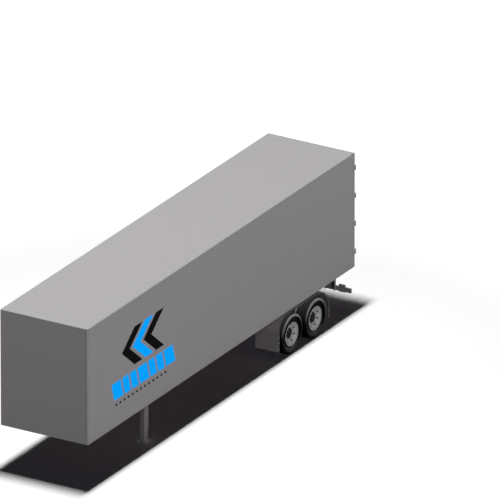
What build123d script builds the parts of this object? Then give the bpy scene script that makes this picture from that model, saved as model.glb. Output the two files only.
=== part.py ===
"""Box van semi trailer on a tandem of dual wheels, parked on its landing legs.

Frame: +X towards the nose, +Y to the left, +Z up, origin on the ground under the middle of the
overall length. Millimetres. One STEP file for each node is written to parts/.
"""

from build123d import *
from math import asin, cos, radians, sin, sqrt, tan
import os

# ---------------------------------------------------------------- driving dimensions
# body shell
BODY_LENGTH = 12660
BODY_WIDTH = 2438
OVERALL_HEIGHT = 4225
UNDERSIDE_HEIGHT = 1215
WALL_THICKNESS = 40
WALL_RECESS = 2
RAIL_WEB = 8
BOTTOM_RAIL_HEIGHT = 175
TOP_RAIL_HEIGHT = 130
RAIL_FLANGE_WIDTH = 70
CORNER_POST_SIZE = 60
CORNER_POST_WALL = 6
CORNER_POST_RADIUS = 18
SCUFF_HEIGHT = 300
SCUFF_THICKNESS = 5
ROOF_SHEET = 4
ROOF_EDGE = 12
BOW_PITCH = 610
BOW_WIDTH = 62
BOW_DEPTH = 28
BOW_WALL = 3
FLOOR_THICKNESS = 33
BEAM_HEIGHT = 102
BEAM_FLANGE = 57
BEAM_WEB = 6
BEAM_PITCH = 305

# rear frame, doors and their hinges
REAR_POST_WIDTH = 70
REAR_FRAME_DEPTH = 100
REAR_HEADER_HEIGHT = 120
SILL_BEVEL = 14
DOOR_THICKNESS = 40
DOOR_GAP = 6
DOOR_CENTRE_GAP = 12
DOOR_PROUD = 5
SEAL_WIDTH = 10
SEAL_THICKNESS = 24
HINGE_COUNT = 4
HINGE_END_MARGIN = 260
PIN_RADIUS = 8
PIN_OUTBOARD = 12
PIN_BEHIND_DOOR = 20
RUNNING_CLEARANCE = 0.08
KNUCKLE_RADIUS = 13
KNUCKLE_HEIGHT = 44
KNUCKLE_GAP = 1
STRAP_THICKNESS = 6
STRAP_REACH = 230
BUTT_LEAF_LENGTH = 70

# door locks: two rods on each door, with cams that lie between cheeks on the rear frame
LOCK_ROD_RADIUS = 13.5
LOCK_ROD_STANDOFF = 27
CAM_RADIUS = 22
CAM_HEIGHT = 22
CAM_OVERHANG = 26
KEEPER_GAP = 66
KEEPER_CHEEK = 10
KEEPER_HEIGHT = 40
KEEPER_REACH = 40
GUIDE_WIDTH = 78
GUIDE_HEIGHT = 44
GUIDE_MARGIN = 150
HANDLE_LENGTH = 380
HANDLE_WIDTH = 32
HANDLE_THICKNESS = 10
HASP_SIZE = 60
# distance of each rod from the door's hinged edge, height of its handle above the door's foot,
# and the way the handle points: 1 towards the hinges, -1 towards the middle
LOCKS = ((300, 330, -1), (880, 450, 1))

# dock bumpers
BUMPER_REACH = 62
BUMPER_WIDTH = 320
BUMPER_HEIGHT = 90
BUMPER_INSET = 260

# coupling, air and electric connectors
KINGPIN_SETBACK = 914
COUPLER_PLATE_THICKNESS = 10
COUPLER_PLATE_LENGTH = 1500
COUPLER_PLATE_MARGIN = 25
KINGPIN_COLLAR_RADIUS = 36.5
KINGPIN_NECK_RADIUS = 25.4
KINGPIN_HEAD_RADIUS = 35.7
KINGPIN_COLLAR_HEIGHT = 19
KINGPIN_NECK_HEIGHT = 30
KINGPIN_HEAD_HEIGHT = 35
KINGPIN_CHAMFER = 5
KINGPIN_FIT_GAP = 0.02
CONNECTOR_SETBACK = 300
CONNECTOR_TO_EDGE = 419
CONNECTOR_PITCH = 84
CONNECTOR_PLATE = 8
CONNECTOR_WIDTH = 270
CONNECTOR_DROP = 90
CONNECTOR_RADIUS = 30
CONNECTOR_REACH = 45
SLOT_FIT_GAP = 0.02

# landing gear
LEG_SETBACK = 3300
LEG_INSET = 330
LEG_WIDTH = 150
LEG_DEPTH = 200
LEG_WALL = 8
LEG_CORNER = 24
LEG_SLIDE_GAP = 1
LEG_OUTER_BOTTOM = 330
LEG_INNER_BOTTOM = 42
LEG_INNER_LAP = 420
LEG_TOP_PLATE = 12
LEG_TOP_MARGIN = 30
LEG_GUSSET_REACH = 100
LEG_GUSSET_DROP = 180
FOOT_WIDTH = 220
FOOT_DEPTH = 270
FOOT_PLATE = 12
FOOT_LIP = 26
FOOT_EAR_HALF = 78
FOOT_RISE = 16
FOOT_PIN_HEIGHT = 66
FOOT_PIN_RADIUS = 16
FOOT_EAR = 12
FOOT_EAR_GAP = 1
CROSS_SHAFT_DROP = 135
CROSS_SHAFT_RADIUS = 17
GEARBOX_WIDTH = 56
GEARBOX_DEPTH = 140
GEARBOX_HEIGHT = 180
GEARBOX_CORNER = 28
CRANK_REACH = 110
CRANK_THROW = 330
CRANK_GRIP = 110
CRANK_GRIP_RADIUS = 16
CRANK_RADIUS = 12
BRACE_WIDTH = 70
BRACE_DEPTH = 50
BRACE_DROP = 345
BRACE_SPREAD = 420

# tyres and wheels
TYRE_RADIUS = 515
TYRE_WIDTH = 280
TYRE_INSET = 6
TYRE_SIDES = 36
TREAD_WIDTH = 196
SHOULDER_DROP = 18
SHOULDER_INSET = 16
SIDEWALL_HEIGHT = 113
BEAD_RADIUS = 288
BEAD_WIDTH = 210
RIM_FLANGE_HEIGHT = 18
RIM_WALL = 9
TYRE_SEAT_GAP = 0.1
DUAL_SPACING = 330
AXLE_SPACING = 1123
REAR_AXLE_TO_REAR = 1837
DISC_DISH = 86
DISC_RIM_DEPTH = 34
DISC_PLATE = 12
DISC_BORE_RADIUS = 140.5
DISC_FLAT_RADIUS = 190
HAND_HOLE_COUNT = 8
HAND_HOLE_CIRCLE_RADIUS = 222
HAND_HOLE_RADIUS = 20
HAND_HOLE_START = 21

# hubs, drums and axles
SPIGOT_GAP = 0.5
HUB_BARREL_RADIUS = 100
HUB_FLANGE_RADIUS = 186
HUB_FLANGE_THICKNESS = 22
HUB_TAIL = 90
HUB_PROUD = 6
HUB_CAP_RADIUS = 66
HUB_CAP_HEIGHT = 20
SPACER_WALL = 20
SPACER_RADIUS = 148
SPACER_BORE_GAP = 4
DRUM_RADIUS = 211
DRUM_WALL = 18
DRUM_REACH = 33
AXLE_RADIUS = 63.5
SPINDLE_RADIUS = 45
SPINDLE_CAP_GAP = 10
HUB_END_GAP = 6
SHIELD_RADIUS = 198
SHIELD_THICKNESS = 6
CAM_TUBE_RADIUS = 24
CAM_TUBE_OFFSET = 125
CAM_TUBE_END = 60
CHAMBER_INBOARD = 160
CHAMBER_RISE = 125
CHAMBER_GAP = 30
CHAMBER_RADIUS = 80
CHAMBER_LENGTH = 150
SPRING_CHAMBER_RADIUS = 68
SPRING_CHAMBER_LENGTH = 90
PUSHROD_RADIUS = 8
SLACK_WIDTH = 30
SLACK_DEPTH = 44
BRAKE_BRACKET_PLATE = 8
BRAKE_BRACKET_WIDTH = 110
BRAKE_BRACKET_HEIGHT = 130

# suspension
SPRING_TO_TYRE = 253
SPRING_WIDTH = 75
LEAF_THICKNESS = 20
LEAF_CAMBER = 42
LEAF_SHARES = (1.0, 0.78, 0.55)
SPRING_END_GAP = 90
SPRING_SEAT_HEIGHT = 34
SPRING_SEAT_LENGTH = 126
U_BOLT_RADIUS = 11
U_BOLT_GAP = 2
U_BOLT_SINK = 1
CLAMP_PLATE = 20
CLAMP_LENGTH = 190
CLAMP_MARGIN = 15
FRAME_RAIL_WIDTH = 90
FRAME_RAIL_HEIGHT = 240
FRAME_RAIL_WALL = 8
FRAME_RAIL_OVERHANG = 760
FRAME_CROSS_WIDTH = 100
FRAME_CROSS_HEIGHT = 120
HANGER_CHEEK = 10
HANGER_LENGTH = 180
HANGER_FOOT_LENGTH = 84
HANGER_FOOT_DROP = 38
HANGER_SIDE_GAP = 2
HANGER_WEB = 10
HANGER_PAD_LENGTH = 120
HANGER_PAD = 26
HANGER_BEYOND_TIP = 10
SLIP_GAP = 0.3
KEEPER_PIN_RADIUS = 8
ROD_PIN_RADIUS = 15
ROD_PIN_DROP = 72
ROD_EYE_RADIUS = 32
ROD_EYE_WIDTH = 50
ROD_RADIUS = 18
ROD_EAR = 10
ROD_EAR_GAP = 1
ROD_AXLE_REACH = 125
ROD_AXLE_RISE = 41
EQUALIZER_HALF = 150
EQUALIZER_END_HEIGHT = 34
EQUALIZER_PAD_LENGTH = 90
EQUALIZER_ARCH = 26
EQUALIZER_PIN_RISE = 78
EQUALIZER_PIN_RADIUS = 22
EQUALIZER_BOSS_RADIUS = 46

# wheel covers
COVER_WIDTH = 654
COVER_FRONT_REACH = 694
COVER_TOP_GAP = 35
COVER_FRONT_RADIUS = 410
COVER_REAR_RADIUS = 620
COVER_FRONT_BOTTOM = 284
COVER_REAR_BOTTOM = 310
COVER_SKIN = 6
COVER_LIP = 40
COVER_BRACKET = 60
COVER_BRACKET_INSET = 40
COVER_BRACKET_OUTER_INSET = 90

# rear guard, lamps and air tank
GUARD_BAR_HEIGHT = 112
GUARD_BAR_DEPTH = 50
GUARD_BAR_WALL = 6
GUARD_CENTRE_HEIGHT = 557
GUARD_END_INSET = 80
GUARD_POST_INNER = 440
GUARD_POST_OUTER = 720
GUARD_POST_PLATE = 10
GUARD_POST_DEPTH = 70
GUARD_GUSSET_REACH = 190
GUARD_GUSSET_DROP = 230
LAMP_BOX_INNER = 772
LAMP_BOX_OUTER = 944
LAMP_BOX_HEIGHT = 190
LAMP_BOX_DEPTH = 42
LAMP_RADIUS = 40
LAMP_PROUD = 12
LAMP_PITCH = 88
MARKER_LENGTH = 90
MARKER_HEIGHT = 24
MARKER_PROUD = 12
MARKER_PLACES = (-1120, -150, 0, 150, 1120)
TANK_RADIUS = 130
TANK_LENGTH = 640
TANK_DOME = 60
TANK_AHEAD_OF_AXLE = 1800
TANK_DROP = 40
TANK_STRAP_WIDTH = 50
TANK_STRAP = 5
TANK_STRAP_PITCH = 340

# ---------------------------------------------------------------- places that follow from them
HALF_WIDTH = BODY_WIDTH / 2
NOSE_X = (BODY_LENGTH + BUMPER_REACH) / 2
TAIL_X = NOSE_X - BODY_LENGTH
FLOOR_BOTTOM = UNDERSIDE_HEIGHT + BEAM_HEIGHT
FLOOR_TOP = FLOOR_BOTTOM + FLOOR_THICKNESS
ROOF_BOTTOM = OVERALL_HEIGHT - ROOF_SHEET
BOTTOM_RAIL_TOP = UNDERSIDE_HEIGHT + BOTTOM_RAIL_HEIGHT
TOP_RAIL_BOTTOM = ROOF_BOTTOM - TOP_RAIL_HEIGHT
SHELL_X = (TAIL_X + REAR_FRAME_DEPTH, NOSE_X - CORNER_POST_SIZE)
WALL_INNER = HALF_WIDTH - WALL_THICKNESS
DECK_EDGE = WALL_INNER - SCUFF_THICKNESS
RAIL_INNER = HALF_WIDTH - RAIL_WEB
FLANGE_TIP = HALF_WIDTH - RAIL_FLANGE_WIDTH
REAR_AXLE_X = TAIL_X + REAR_AXLE_TO_REAR
FRONT_AXLE_X = REAR_AXLE_X + AXLE_SPACING
MID_AXLE_X = (FRONT_AXLE_X + REAR_AXLE_X) / 2
AXLE_Z = TYRE_RADIUS
OUTER_TYRE_Y = HALF_WIDTH - TYRE_INSET - TYRE_WIDTH / 2
INNER_TYRE_Y = OUTER_TYRE_Y - DUAL_SPACING
SPRING_CENTRE = INNER_TYRE_Y - SPRING_TO_TYRE
RIM_HALF = BEAD_WIDTH / 2 + RIM_WALL
OUTER_DISC_Y = OUTER_TYRE_Y + RIM_HALF - DISC_DISH
INNER_DISC_Y = INNER_TYRE_Y + RIM_HALF - DISC_DISH


# ---------------------------------------------------------------- helpers
def block(x, y, z):
    """A box between two limits along each axis."""
    centre = ((x[0] + x[1]) / 2, (y[0] + y[1]) / 2, (z[0] + z[1]) / 2)
    return Pos(*centre) * Box(x[1] - x[0], y[1] - y[0], z[1] - z[0])


def shape(*points):
    """A flat polygon through points."""
    return Polygon(*points, align=None)


def along_x(face, x):
    """A section drawn as (Y, Z), extruded between two X."""
    return extrude(Plane.YZ.offset(x[0]) * face, amount=x[1] - x[0], dir=(1, 0, 0))


def along_y(face, y):
    """A section drawn as (X, Z), extruded between two Y."""
    return extrude(Plane.XZ.offset(-y[0]) * face, amount=y[1] - y[0], dir=(0, 1, 0))


def along_z(face, z):
    """A section drawn as (X, Y), extruded between two Z."""
    return extrude(Plane.XY.offset(z[0]) * face, amount=z[1] - z[0], dir=(0, 0, 1))


def rod_x(radius, x, y, z):
    """A round bar along X."""
    return along_x(Pos(y, z) * Circle(radius), x)


def rod_y(radius, x, y, z):
    """A round bar along Y."""
    return along_y(Pos(x, z) * Circle(radius), y)


def rod_z(radius, x, y, z):
    """A round bar along Z."""
    return along_z(Pos(x, y) * Circle(radius), z)


def tube(width, height, wall):
    """The section of a rectangular tube."""
    return Rectangle(width, height) - Rectangle(width - 2 * wall, height - 2 * wall)


def other_side(piece):
    return mirror(piece, about=Plane.XZ)


def both(piece):
    """A piece on the left and its mirror image on the right."""
    return [piece, other_side(piece)]


def save(node, *pieces):
    """Writes a node. Its pieces are separate solids of one body."""
    solids = [solid for piece in pieces for solid in piece.solids()]
    export_step(Compound(children=solids), f"parts/{node}.step")


def spaced(limits, pitch):
    """Even places from one limit to the other, about a pitch apart."""
    count = max(1, round((limits[1] - limits[0]) / pitch))
    return [limits[0] + (limits[1] - limits[0]) * step / count for step in range(count + 1)]


os.makedirs("parts", exist_ok=True)

# ---------------------------------------------------------------- side walls and their rails
# Each wall has a thin edge at its foot and head that stands inside the rails' webs.
SHELF_TOP = FLOOR_BOTTOM + RAIL_WEB
TOP_FLANGE_Z = ROOF_BOTTOM - RAIL_WEB
SKIN_Y = HALF_WIDTH - WALL_RECESS

wall_section = shape(
    (WALL_INNER, SHELF_TOP),
    (RAIL_INNER, SHELF_TOP),
    (RAIL_INNER, BOTTOM_RAIL_TOP),
    (SKIN_Y, BOTTOM_RAIL_TOP),
    (SKIN_Y, TOP_RAIL_BOTTOM),
    (RAIL_INNER, TOP_RAIL_BOTTOM),
    (RAIL_INNER, TOP_FLANGE_Z),
    (WALL_INNER, TOP_FLANGE_Z),
)
side_wall = along_x(wall_section, SHELL_X)
save("side_wall_left", side_wall)
save("side_wall_right", other_side(side_wall))

bottom_rail_section = shape(
    (FLANGE_TIP, UNDERSIDE_HEIGHT),
    (HALF_WIDTH, UNDERSIDE_HEIGHT),
    (HALF_WIDTH, BOTTOM_RAIL_TOP),
    (RAIL_INNER, BOTTOM_RAIL_TOP),
    (RAIL_INNER, SHELF_TOP),
    (WALL_INNER, SHELF_TOP),
    (WALL_INNER, FLOOR_BOTTOM),
    (RAIL_INNER, FLOOR_BOTTOM),
    (RAIL_INNER, UNDERSIDE_HEIGHT + RAIL_WEB),
    (FLANGE_TIP, UNDERSIDE_HEIGHT + RAIL_WEB),
)
save("bottom_rails", *both(along_x(bottom_rail_section, SHELL_X)))

top_rail_section = shape(
    (RAIL_INNER, TOP_RAIL_BOTTOM),
    (HALF_WIDTH, TOP_RAIL_BOTTOM),
    (HALF_WIDTH, ROOF_BOTTOM),
    (FLANGE_TIP, ROOF_BOTTOM),
    (FLANGE_TIP, TOP_FLANGE_Z),
    (RAIL_INNER, TOP_FLANGE_Z),
)
save("top_rails", *both(along_x(top_rail_section, SHELL_X)))

# Steel scuff bands along the foot of each wall, inside, down past the edges of the deck.
scuff = block(SHELL_X, (DECK_EDGE, WALL_INNER), (FLOOR_BOTTOM, FLOOR_TOP + SCUFF_HEIGHT))
save("scuff_bands", *both(scuff))

# ---------------------------------------------------------------- front frame and front wall
POST_INNER_Y = HALF_WIDTH - CORNER_POST_SIZE
FRONT_WALL_X = (NOSE_X - WALL_THICKNESS, NOSE_X - WALL_RECESS)
FRAME_FRONT_X = (NOSE_X - CORNER_POST_SIZE, NOSE_X)
post_centre = Pos(NOSE_X - CORNER_POST_SIZE / 2, HALF_WIDTH - CORNER_POST_SIZE / 2)
post_bore = CORNER_POST_SIZE - 2 * CORNER_POST_WALL
post_face = RectangleRounded(CORNER_POST_SIZE, CORNER_POST_SIZE, CORNER_POST_RADIUS)
post_face = post_face - Rectangle(post_bore, post_bore)
front_post = along_z(post_centre * post_face, (UNDERSIDE_HEIGHT, ROOF_BOTTOM))
front_sill = block(FRAME_FRONT_X, (-POST_INNER_Y, POST_INNER_Y), (UNDERSIDE_HEIGHT, BOTTOM_RAIL_TOP))
front_header = block(FRAME_FRONT_X, (-POST_INNER_Y, POST_INNER_Y), (TOP_RAIL_BOTTOM, ROOF_BOTTOM))
save("front_frame", front_post + other_side(front_post) + front_sill + front_header)
save("front_wall", block(FRONT_WALL_X, (-POST_INNER_Y, POST_INNER_Y), (BOTTOM_RAIL_TOP, TOP_RAIL_BOTTOM)))

# ---------------------------------------------------------------- roof
roof_y = HALF_WIDTH - ROOF_EDGE
roof_x = (TAIL_X + ROOF_EDGE, NOSE_X - ROOF_EDGE)
save("roof_sheet", block(roof_x, (-roof_y, roof_y), (ROOF_BOTTOM, OVERALL_HEIGHT)))

# Roof bows: hat sections with their brims against the sheet, between the top rails' flanges.
brim = BOW_WIDTH / 2
crown = BOW_WIDTH / 4
bow_section = shape(
    (-brim, ROOF_BOTTOM),
    (-brim, ROOF_BOTTOM - BOW_WALL),
    (-crown, ROOF_BOTTOM - BOW_WALL),
    (-crown, ROOF_BOTTOM - BOW_DEPTH),
    (crown, ROOF_BOTTOM - BOW_DEPTH),
    (crown, ROOF_BOTTOM - BOW_WALL),
    (brim, ROOF_BOTTOM - BOW_WALL),
    (brim, ROOF_BOTTOM),
    (crown - BOW_WALL, ROOF_BOTTOM),
    (crown - BOW_WALL, ROOF_BOTTOM - BOW_DEPTH + BOW_WALL),
    (-crown + BOW_WALL, ROOF_BOTTOM - BOW_DEPTH + BOW_WALL),
    (-crown + BOW_WALL, ROOF_BOTTOM),
)
bow = along_y(bow_section, (-FLANGE_TIP, FLANGE_TIP))
bow_limits = (SHELL_X[0] + BOW_PITCH / 2, SHELL_X[1] - BOW_PITCH / 2)
save("roof_bows", *[Pos(x, 0, 0) * bow for x in spaced(bow_limits, BOW_PITCH)])

# ---------------------------------------------------------------- floor and cross beams
save("floor_deck", block(SHELL_X, (-DECK_EDGE, DECK_EDGE), (FLOOR_BOTTOM, FLOOR_TOP)))

# I beams; their webs run on past the flanges to the bottom rails' webs.
edge = BEAM_FLANGE / 2
core = BEAM_WEB / 2
foot_z = UNDERSIDE_HEIGHT + BEAM_WEB
head_z = FLOOR_BOTTOM - BEAM_WEB
beam_section = shape(
    (-edge, UNDERSIDE_HEIGHT),
    (edge, UNDERSIDE_HEIGHT),
    (edge, foot_z),
    (core, foot_z),
    (core, head_z),
    (edge, head_z),
    (edge, FLOOR_BOTTOM),
    (-edge, FLOOR_BOTTOM),
    (-edge, head_z),
    (-core, head_z),
    (-core, foot_z),
    (-edge, foot_z),
)
beam = along_y(beam_section, (-FLANGE_TIP, FLANGE_TIP))
beam = beam + block((-core, core), (-RAIL_INNER, RAIL_INNER), (UNDERSIDE_HEIGHT + RAIL_WEB, FLOOR_BOTTOM))
beam_limits = (SHELL_X[0] + BEAM_PITCH, SHELL_X[1] - BEAM_PITCH)
save("crossmembers", *[Pos(x, 0, 0) * beam for x in spaced(beam_limits, BEAM_PITCH)])

# ---------------------------------------------------------------- rear frame
POST_INNER = HALF_WIDTH - REAR_POST_WIDTH
HEADER_BOTTOM = ROOF_BOTTOM - REAR_HEADER_HEIGHT
DOOR_Z = (FLOOR_TOP + DOOR_GAP, HEADER_BOTTOM - DOOR_GAP)
DOOR_Y = (DOOR_CENTRE_GAP / 2, POST_INNER - DOOR_GAP)
DOOR_X = (TAIL_X - DOOR_PROUD, TAIL_X - DOOR_PROUD + DOOR_THICKNESS)

rear_frame = block((TAIL_X, SHELL_X[0]), (-HALF_WIDTH, HALF_WIDTH), (UNDERSIDE_HEIGHT, ROOF_BOTTOM))
doorway = block((TAIL_X, SHELL_X[0]), (-POST_INNER, POST_INNER), (FLOOR_TOP, HEADER_BOTTOM))
rear_frame = rear_frame - doorway
bevel = shape(
    (TAIL_X, UNDERSIDE_HEIGHT),
    (TAIL_X + SILL_BEVEL, UNDERSIDE_HEIGHT),
    (TAIL_X, UNDERSIDE_HEIGHT + SILL_BEVEL),
)
rear_frame = rear_frame - along_y(bevel, (-HALF_WIDTH, HALF_WIDTH))

# Keepers: a cheek on each side of every cam, open to the rear so that the doors swing clear.
CAM_HEIGHTS = (DOOR_Z[0] - CAM_OVERHANG, DOOR_Z[1] + CAM_OVERHANG)
for inset, _, _ in LOCKS:
    for cam_z in CAM_HEIGHTS:
        for cheek_y in (-KEEPER_GAP / 2 - KEEPER_CHEEK, KEEPER_GAP / 2):
            y = DOOR_Y[1] - inset + cheek_y
            z = (cam_z - KEEPER_HEIGHT / 2, cam_z + KEEPER_HEIGHT / 2)
            cheek = block((TAIL_X - KEEPER_REACH, TAIL_X), (y, y + KEEPER_CHEEK), z)
            rear_frame = rear_frame + cheek + other_side(cheek)
save("rear_frame", rear_frame)

# ---------------------------------------------------------------- hinges
PIN_X = DOOR_X[0] - PIN_BEHIND_DOOR
PIN_Y = HALF_WIDTH + PIN_OUTBOARD
KNUCKLE_STEP = KNUCKLE_HEIGHT + KNUCKLE_GAP
hinge_low = DOOR_Z[0] + HINGE_END_MARGIN
hinge_high = DOOR_Z[1] - HINGE_END_MARGIN
hinge_pitch = (hinge_high - hinge_low) / (HINGE_COUNT - 1)
hinge_heights = [hinge_low + hinge_pitch * step for step in range(HINGE_COUNT)]


def knuckle_span(z):
    return (z - KNUCKLE_HEIGHT / 2, z + KNUCKLE_HEIGHT / 2)


butts = []
pins = []
for height in hinge_heights:
    for offset in (-KNUCKLE_STEP, KNUCKLE_STEP):
        z = knuckle_span(height + offset)
        leaf = block((PIN_X, TAIL_X + BUTT_LEAF_LENGTH), (HALF_WIDTH, HALF_WIDTH + STRAP_THICKNESS), z)
        butts.append(rod_z(KNUCKLE_RADIUS, PIN_X, PIN_Y, z) + leaf - rod_z(PIN_RADIUS, PIN_X, PIN_Y, z))
    pins.append(rod_z(PIN_RADIUS, PIN_X, PIN_Y, (height - 1.5 * KNUCKLE_STEP, height + 1.5 * KNUCKLE_STEP)))
save("hinge_butts", *[solid for butt in butts for solid in both(butt)])
save("hinge_pins", *[solid for pin in pins for solid in both(pin)])

# ---------------------------------------------------------------- doors
panel_y = (DOOR_Y[0] + SEAL_WIDTH, DOOR_Y[1] - SEAL_WIDTH)
panel_z = (DOOR_Z[0] + SEAL_WIDTH, DOOR_Z[1] - SEAL_WIDTH)
door_panel = block(DOOR_X, panel_y, panel_z)
seal_x = (DOOR_X[1] - SEAL_THICKNESS, DOOR_X[1])
door_seal = block(seal_x, DOOR_Y, DOOR_Z) - block(seal_x, panel_y, panel_z)

# Each strap runs from the door's face over the post and joins its knuckle by a short web.
strap_x = (DOOR_X[0] - STRAP_THICKNESS, DOOR_X[0])
hardware = []
for height in hinge_heights:
    z = knuckle_span(height)
    strap = block(strap_x, (PIN_Y - STRAP_REACH, PIN_Y), z) + rod_z(KNUCKLE_RADIUS, PIN_X, PIN_Y, z)
    strap = strap + block((PIN_X, strap_x[1]), (PIN_Y, PIN_Y + KNUCKLE_RADIUS), z)
    hardware.append(strap - rod_z(PIN_RADIUS + RUNNING_CLEARANCE, PIN_X, PIN_Y, z))

# Lock rods with their guides, cams and handles; a hasp holds each handle's end.
ROD_X = DOOR_X[0] - LOCK_ROD_STANDOFF
guide_heights = (DOOR_Z[0] + GUIDE_MARGIN, (DOOR_Z[0] + DOOR_Z[1]) / 2, DOOR_Z[1] - GUIDE_MARGIN)
for inset, handle_rise, handle_way in LOCKS:
    y = DOOR_Y[1] - inset
    lock = rod_z(LOCK_ROD_RADIUS, ROD_X, y, CAM_HEIGHTS)
    for cam_z in CAM_HEIGHTS:
        lock = lock + rod_z(CAM_RADIUS, ROD_X, y, (cam_z - CAM_HEIGHT / 2, cam_z + CAM_HEIGHT / 2))
    for guide_z in guide_heights:
        z = (guide_z - GUIDE_HEIGHT / 2, guide_z + GUIDE_HEIGHT / 2)
        lock = lock + block((ROD_X, DOOR_X[0]), (y - LOCK_ROD_RADIUS, y + LOCK_ROD_RADIUS), z)
        lock = lock + block(strap_x, (y - GUIDE_WIDTH / 2, y + GUIDE_WIDTH / 2), z)
    handle_z = DOOR_Z[0] + handle_rise
    handle_y = sorted((y, y + handle_way * HANDLE_LENGTH))
    grip_x = (ROD_X - HANDLE_THICKNESS / 2, ROD_X + HANDLE_THICKNESS / 2)
    lock = lock + block(grip_x, handle_y, (handle_z - HANDLE_WIDTH / 2, handle_z + HANDLE_WIDTH / 2))
    hasp_y = y + handle_way * (HANDLE_LENGTH - HASP_SIZE)
    hasp_z = (handle_z - HASP_SIZE / 2, handle_z + HASP_SIZE / 2)
    lock = lock + block((ROD_X, DOOR_X[0]), (hasp_y - HASP_SIZE / 4, hasp_y + HASP_SIZE / 4), hasp_z)
    hardware.append(lock)

for side, place in (("left", lambda piece: piece), ("right", other_side)):
    save(f"door_panel_{side}", place(door_panel))
    save(f"door_seal_{side}", place(door_seal))
    save(f"door_hardware_{side}", *[place(item) for item in hardware])

# ---------------------------------------------------------------- dock bumpers
bumper_y = (HALF_WIDTH - BUMPER_INSET - BUMPER_WIDTH, HALF_WIDTH - BUMPER_INSET)
bumper_z = (UNDERSIDE_HEIGHT + SILL_BEVEL, UNDERSIDE_HEIGHT + BUMPER_HEIGHT)
save("dock_bumpers", *both(block((TAIL_X - BUMPER_REACH, TAIL_X), bumper_y, bumper_z)))

# ---------------------------------------------------------------- upper coupler, kingpin, connectors
PLATE_X = (NOSE_X - COUPLER_PLATE_LENGTH, NOSE_X - COUPLER_PLATE_MARGIN)
PLATE_Z = (UNDERSIDE_HEIGHT - COUPLER_PLATE_THICKNESS, UNDERSIDE_HEIGHT)
PLATE_Y = HALF_WIDTH - COUPLER_PLATE_MARGIN
KINGPIN_X = NOSE_X - KINGPIN_SETBACK
SOCKET_FACE_X = NOSE_X - CONNECTOR_SETBACK
CONNECTOR_OFFSET = HALF_WIDTH - CONNECTOR_TO_EDGE
SOCKET_PLATE_X = (SOCKET_FACE_X - CONNECTOR_PLATE, SOCKET_FACE_X)
SOCKET_PLATE_Y = (CONNECTOR_OFFSET - CONNECTOR_WIDTH / 2, CONNECTOR_OFFSET + CONNECTOR_WIDTH / 2)
slot_x = (SOCKET_PLATE_X[0] - SLOT_FIT_GAP, SOCKET_PLATE_X[1] + SLOT_FIT_GAP)
slot_y = (SOCKET_PLATE_Y[0] - SLOT_FIT_GAP, SOCKET_PLATE_Y[1] + SLOT_FIT_GAP)

coupler_plate = block(PLATE_X, (-PLATE_Y, PLATE_Y), PLATE_Z) - block(slot_x, slot_y, PLATE_Z)
coupler_plate = coupler_plate - rod_z(KINGPIN_COLLAR_RADIUS + KINGPIN_FIT_GAP, KINGPIN_X, 0, PLATE_Z)
save("coupler_plate", coupler_plate)

# The pin's outline as (radius, Z), turned about its axis; its collar fits the plate's hole.
collar_z = PLATE_Z[0] - KINGPIN_COLLAR_HEIGHT
neck_z = collar_z - KINGPIN_NECK_HEIGHT
head_z = neck_z - KINGPIN_HEAD_HEIGHT
kingpin_section = shape(
    (0, PLATE_Z[1]),
    (0, head_z),
    (KINGPIN_HEAD_RADIUS - KINGPIN_CHAMFER, head_z),
    (KINGPIN_HEAD_RADIUS, head_z + KINGPIN_CHAMFER),
    (KINGPIN_HEAD_RADIUS, neck_z),
    (KINGPIN_NECK_RADIUS, neck_z),
    (KINGPIN_NECK_RADIUS, collar_z),
    (KINGPIN_COLLAR_RADIUS, collar_z),
    (KINGPIN_COLLAR_RADIUS, PLATE_Z[1]),
)
save("kingpin", Pos(KINGPIN_X, 0, 0) * revolve(Plane.XZ * kingpin_section, Axis.Z))

# A plate that hangs through the coupler plate's slot carries two air couplings and a socket.
connectors = block(SOCKET_PLATE_X, SOCKET_PLATE_Y, (PLATE_Z[0] - CONNECTOR_DROP, PLATE_Z[1]))
for step in (-1, 0, 1):
    reach = (SOCKET_FACE_X, SOCKET_FACE_X + CONNECTOR_REACH)
    y = CONNECTOR_OFFSET + step * CONNECTOR_PITCH
    connectors = connectors + rod_x(CONNECTOR_RADIUS, reach, y, PLATE_Z[0] - CONNECTOR_DROP / 2)
save("connectors", connectors)

# ---------------------------------------------------------------- landing gear
LEG_X = NOSE_X - LEG_SETBACK
LEG_Y = HALF_WIDTH - LEG_INSET - LEG_WIDTH / 2
LEG_ENDS = (LEG_X - LEG_DEPTH / 2, LEG_X + LEG_DEPTH / 2)
LEG_SIDES = (LEG_Y - LEG_WIDTH / 2, LEG_Y + LEG_WIDTH / 2)
LEG_TOP = UNDERSIDE_HEIGHT - LEG_TOP_PLATE
CROSS_SHAFT_Z = UNDERSIDE_HEIGHT - CROSS_SHAFT_DROP


def leg_tube(inset, z):
    """A round-cornered tube whose outside lies within the outer leg's by inset."""
    outside = RectangleRounded(LEG_DEPTH - 2 * inset, LEG_WIDTH - 2 * inset, LEG_CORNER - inset)
    core = inset + LEG_WALL
    inside = RectangleRounded(LEG_DEPTH - 2 * core, LEG_WIDTH - 2 * core, LEG_CORNER - core)
    return along_z(Pos(LEG_X, LEG_Y) * (outside - inside), z)


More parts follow.
